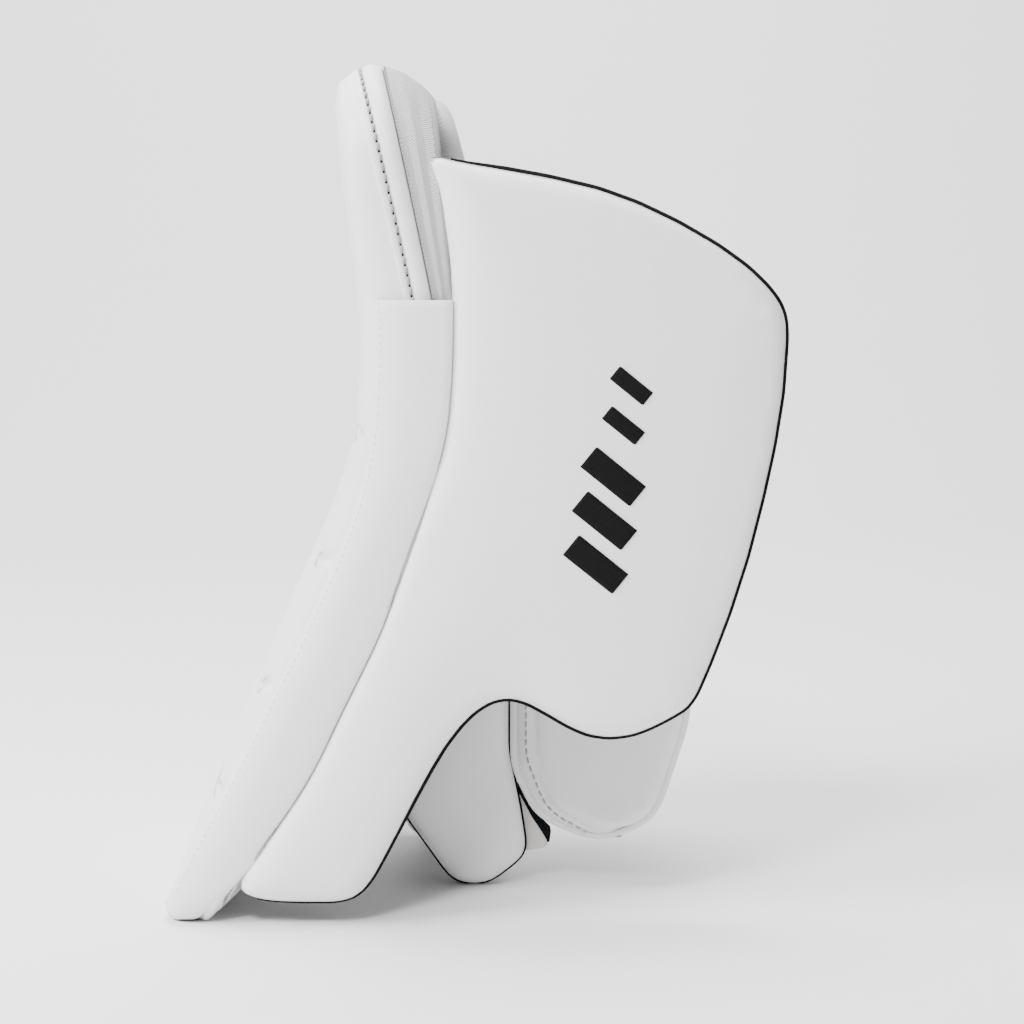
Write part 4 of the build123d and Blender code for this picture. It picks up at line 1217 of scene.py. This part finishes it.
# ---- cuff ------------------------------------------------------------------------------------
cuff_low, cuff_high = mm_box("cuff_pad")
CUFF_X0, CUFF_X1 = cuff_low[0], cuff_high[0]
CUFF_Z0, CUFF_Z1 = cuff_low[2], cuff_high[2]
CUFF_HALF = 50.0
CUFF_HINGE = 146.0 - TOE


def cuff_path(inset, part):
    """The cuff's wall in the top view; part is the fixed side or the flap."""
    x0, x1 = CUFF_X0 + inset, CUFF_X1 - inset
    y0, y1 = HAND_Y - CUFF_HALF + inset, HAND_Y + CUFF_HALF - inset
    r = 18.0 - inset
    if part == "flap":
        corners = [(CUFF_HINGE + 2.2, y1, 0), (x1, y1, r), (x1, HAND_Y + 2.2, 0)]
    else:
        corners = [(CUFF_HINGE - 2.2, y1, 0), (x0, y1, r), (x0, y0, r), (x1, y0, r), (x1, HAND_Y - 2.2, 0)]
    return rounded_path(corners, closed=False, step=3.0)


def wall_pad(name, part, body, depth0, depth1, slot, replaces, channels, swell=1.4):
    """A stuffed wall standing on the cuff's line, between two depths from its outside."""
    path = cuff_path((depth0 + depth1) / 2, part)
    normal = normals_2d(path, closed=False)
    if part == "flap":
        normal = -normal
    outward = normal if (normal[len(path) // 2] @ (path[len(path) // 2] - [(CUFF_X0 + CUFF_X1) / 2, HAND_Y])) > 0 \
        else -normal
    half = (depth1 - depth0) / 2
    z = np.concatenate([np.linspace(CUFF_Z0, CUFF_Z0 + 5, 6)[:-1], np.linspace(CUFF_Z0 + 5, CUFF_Z1 - 5, 34),
                        np.linspace(CUFF_Z1 - 5, CUFF_Z1, 6)[1:]])
    run = np.concatenate([[0], np.cumsum(np.linalg.norm(np.diff(path, axis=0), axis=1))])
    ends = np.minimum(run, run[-1] - run)
    verts, held = [], []
    for sign in (1, -1):
        for i, (q, m) in enumerate(zip(path, outward)):
            for h in z:
                edge = min(h - CUFF_Z0, CUFF_Z1 - h, ends[i] + 0.001)
                t = half * math.sqrt(max(1 - (1 - min(edge / 4.5, 1)) ** 2, 0))
                dip = max([math.exp(-(((h - c) / 2.0) ** 2)) for c in channels] or [0])
                t -= dip * (half * 0.45 if sign > 0 else half * 0.15)
                w = q + m * t * sign
                verts.append((w[0], w[1], h))
                held.append(edge < 2.5 or dip > 0.4 or sign < 0)
    n, cols = len(path) * len(z), len(z)
    faces = grid_faces(len(path), cols)
    test = np.cross(np.array(verts[cols]) - np.array(verts[0]), np.array(verts[1]) - np.array(verts[0]))
    flip = test[:2] @ outward[0] > 0
    outer = [f[::-1] for f in faces] if flip else faces
    inner = [tuple(i + n for i in f[::-1]) for f in outer]
    border = [i * cols for i in range(len(path))] + [(len(path) - 1) * cols + j for j in range(1, cols)]
    border += [i * cols + cols - 1 for i in range(len(path) - 2, -1, -1)] + list(range(cols - 2, 0, -1))
    band = [(a, a + n, b + n, b) for a, b in zip(border, border[1:] + border[:1])]
    if not flip:
        band = [f[::-1] for f in band]
    uv = np.stack(np.meshgrid(run, z, indexing="ij"), -1).reshape(-1, 2) * MM
    obj = piece(name, np.array(verts), outer + inner + band, body, slot, replaces, uv=np.concatenate([uv, uv]))
    if swell:
        puff(obj, np.array(held), cap=swell)
    return obj, path, outward


CHANNELS = [198.0, 210.0, 246.0, 262.0]
for part, prefix, body in (("fixed", "cuff", "board"), ("flap", "cuff_flap", "cuff_flap")):
    pad, path, outward = wall_pad(f"{prefix}_pad", part, body, 0.2, 7.0, "grey_fabric", [f"{prefix}_pad"], CHANNELS)
    wall_pad(f"{prefix}_lining", part, body, 6.9, 8.9, "black_nylon", [f"{prefix}_lining"], [], swell=0)
    outer_path = path + outward * 3.45
    out = np.concatenate([outward, np.zeros((len(path), 1))], 1)
    for k, c in enumerate(CHANNELS):
        p = np.concatenate([path + outward * 2.1, np.full((len(path), 1), c)], 1)[1:-1]
        stitches(f"{prefix}_stitch_{k}", p, out[1:-1], body, 2.4, 1.2, 0.28, THREAD_WHITE, "grey_fabric")
    # black binding folded over the top and bottom edges
    for end, z_, s in (("top", CUFF_Z1, -1), ("bottom", CUFF_Z0, 1)):
        profile = [(3.7, 7.0), (4.1, 3.0), (3.6, 0.6), (2.0, -0.1), (0, -0.3), (-2.2, -0.1), (-4.4, 0.6), (-5.2, 3.0),
                   (-5.4, 7.0)]
        rows = [np.concatenate([path + outward * a, np.full((len(path), 1), z_ + s * b)], 1) for a, b in profile]
        verts = np.stack(rows, 1)
        run = np.concatenate([[0], np.cumsum(np.linalg.norm(np.diff(path, axis=0), axis=1))])
        uv = np.stack(np.meshgrid(run, np.cumsum([0, 4, 2, 2, 2, 2, 2, 2, 4]), indexing="ij"), -1).reshape(-1, 2) * MM
        faces = grid_faces(len(path), len(profile))
        obj = piece(f"{prefix}_edge_{end}", verts.reshape(-1, 3), faces, body, "black_binding", uv=uv)
        thicken(obj, 0.7, offset=0.0)
        p = np.concatenate([path + outward * 4.2, np.full((len(path), 1), z_ + s * 5.8)], 1)[1:-1]
        stitches(f"{prefix}_edge_stitch_{end}", p, out[1:-1], body, 2.0, 1.0, 0.25, THREAD_BLACK, "black_binding")


# ---- strap -----------------------------------------------------------------------------------
def strip(name, x0, x1, y0, y1, z0, z1, body, slot, replaces, radius=4.0, mat=None, bow=0.0, step=3.0):
    """A flat piece across the cuff's back, with softened edges."""
    corners = [(y0, z0, radius), (y1, z0, radius), (y1, z1, radius), (y0, z1, radius)]
    verts2, tris, loop, d = fill(rounded_path(corners, step=2.0), rings=(0.5, 1.1), step=step)
    middle, half = (x0 + x1) / 2, (x1 - x0) / 2
    t = half * np.sqrt(np.maximum(1 - (1 - np.clip(d / 1.0, 0, 1)) ** 2, 0.04))
    wave = bow * np.sin((verts2[:, 0] - y0) / (y1 - y0) * math.pi)
    top = np.stack([middle + wave + t, verts2[:, 0], verts2[:, 1]], 1)
    under = np.stack([middle + wave - t, verts2[:, 0], verts2[:, 1]], 1)
    n = len(verts2)
    faces = list(tris) + [tuple(i + n for i in f[::-1]) for f in tris]
    faces += [(a, a + n, b + n, b) for a, b in zip(loop, loop[1:] + loop[:1])]
    return piece(name, np.concatenate([top, under]), faces, body, slot, replaces,
                 uv=np.concatenate([verts2, verts2]) * MM, mat=mat)


for node, body, slot, bow in (("strap_anchor", "cuff_flap", "hook_loop", 0), ("wrist_strap", "wrist_strap", "hook_loop", 0),
                              ("loop_patch", "board", "hook_loop", 0), ("hook_patch", "wrist_strap", "hook_loop", 0),
                              ("pull_tab", "wrist_strap", "tab", 0.2)):
    low, high = mm_box(node)
    strip(node, low[0], high[0], low[1], high[1], low[2], high[2], body, slot, [node], bow=bow)
low, high = mm_box("wrist_strap")
face_x = high[0]
for k, z_ in enumerate((low[2] + 2.4, high[2] - 2.4)):
    y_ = np.linspace(low[1] + 3, high[1] - 2, 30)
    p = np.stack([np.full(30, face_x), y_, np.full(30, z_)], 1)
    stitches(f"strap_edge_stitch_{k}", p, np.tile([[1.0, 0, 0]], (30, 1)), "wrist_strap", 2.0, 1.0, 0.25, THREAD_GREY,
             "hook_loop")
box_y = (high[1] - 20, high[1] - 4)
cross = [(box_y[0], low[2] + 6), (box_y[1], low[2] + 6), (box_y[1], high[2] - 6), (box_y[0], high[2] - 6),
         (box_y[0], low[2] + 6), (box_y[1], high[2] - 6)]
cross = np.array(cross, float)
for k in range(5):
    a, b = cross[k], cross[k + 1]
    t = np.linspace(0, 1, 16)[:, None]
    q = a + (b - a) * t
    p = np.stack([np.full(16, face_x), q[:, 0], q[:, 1]], 1)
    stitches(f"strap_box_stitch_{k}", p, np.tile([[1.0, 0, 0]], (16, 1)), "wrist_strap", 1.8, 0.9, 0.25, THREAD_GREY,
             "hook_loop")

# ---- floor, light and camera --------------------------------------------------------------------
def stage_floor():
    ys = np.concatenate([[-6.0, 1.2], 1.2 + 1.2 * np.sin(np.linspace(0, math.pi / 2, 16))[1:], [2.4]])
    zs = np.concatenate([[0.0, 0.0], 1.2 - 1.2 * np.cos(np.linspace(0, math.pi / 2, 16))[1:], [6.0]])
    verts = [(x, y, z) for y, z in zip(ys, zs) for x in (-6.0, 6.0)]
    mesh = bpy.data.meshes.new("floor")
    mesh.from_pydata(verts, [], grid_faces(len(ys), 2))
    mesh.polygons.foreach_set("use_smooth", [True] * len(mesh.polygons))
    m = bpy.data.materials.new("floor")
    m.use_nodes = True
    shader = m.node_tree.nodes["Principled BSDF"]
    shader.inputs["Base Color"].default_value = (0.84, 0.84, 0.845, 1)
    shader.inputs["Roughness"].default_value = 0.55
    mesh.materials.append(m)
    floor = bpy.data.objects.new("floor", mesh)
    bpy.context.scene.collection.objects.link(floor)


stage_floor()


def area(name, place, target, size, power):
    light = bpy.data.lights.new(name, "AREA")
    light.shape = "RECTANGLE"
    light.size, light.size_y = size
    light.energy = power
    obj = bpy.data.objects.new(name, light)
    bpy.context.scene.collection.objects.link(obj)
    obj.location = place
    obj.rotation_euler = (Vector(target) - Vector(place)).to_track_quat("-Z", "Y").to_euler()


area("key", (-1.35, -0.55, 1.15), (0.0, 0.0, 0.15), (0.8, 0.8), 54.0)
area("front", (-0.45, -1.25, 1.5), (0.0, 0.0, 0.12), (0.4, 0.4), 34.0)
area("top", (-0.1, 0.12, 1.75), (0.0, 0.0, 0.15), (0.6, 0.6), 36.0)
area("right", (1.5, -0.8, 0.9), (0.0, 0.0, 0.18), (1.0, 1.2), 4.0)
area("backdrop", (0.0, 0.9, 2.2), (0.0, 2.4, 0.7), (3.0, 1.0), 92.0)

world = bpy.data.worlds.new("studio")
world.use_nodes = True
world.node_tree.nodes["Background"].inputs[0].default_value = (1.0, 1.0, 1.0, 1)
world.node_tree.nodes["Background"].inputs[1].default_value = 0.16
bpy.context.scene.world = world

camera_data = bpy.data.cameras.new("camera")
camera_data.lens = 84.9
camera_data.sensor_width = 36.0
camera = bpy.data.objects.new("camera", camera_data)
bpy.context.scene.collection.objects.link(camera)
camera.location = (-0.0221, -1.1174, 0.2982)
yaw, pitch = math.radians(2.17), math.radians(6.66)
look = Vector((math.sin(yaw) * math.cos(pitch), math.cos(yaw) * math.cos(pitch), -math.sin(pitch)))
camera.rotation_euler = look.to_track_quat("-Z", "Y").to_euler()
bpy.context.scene.camera = camera
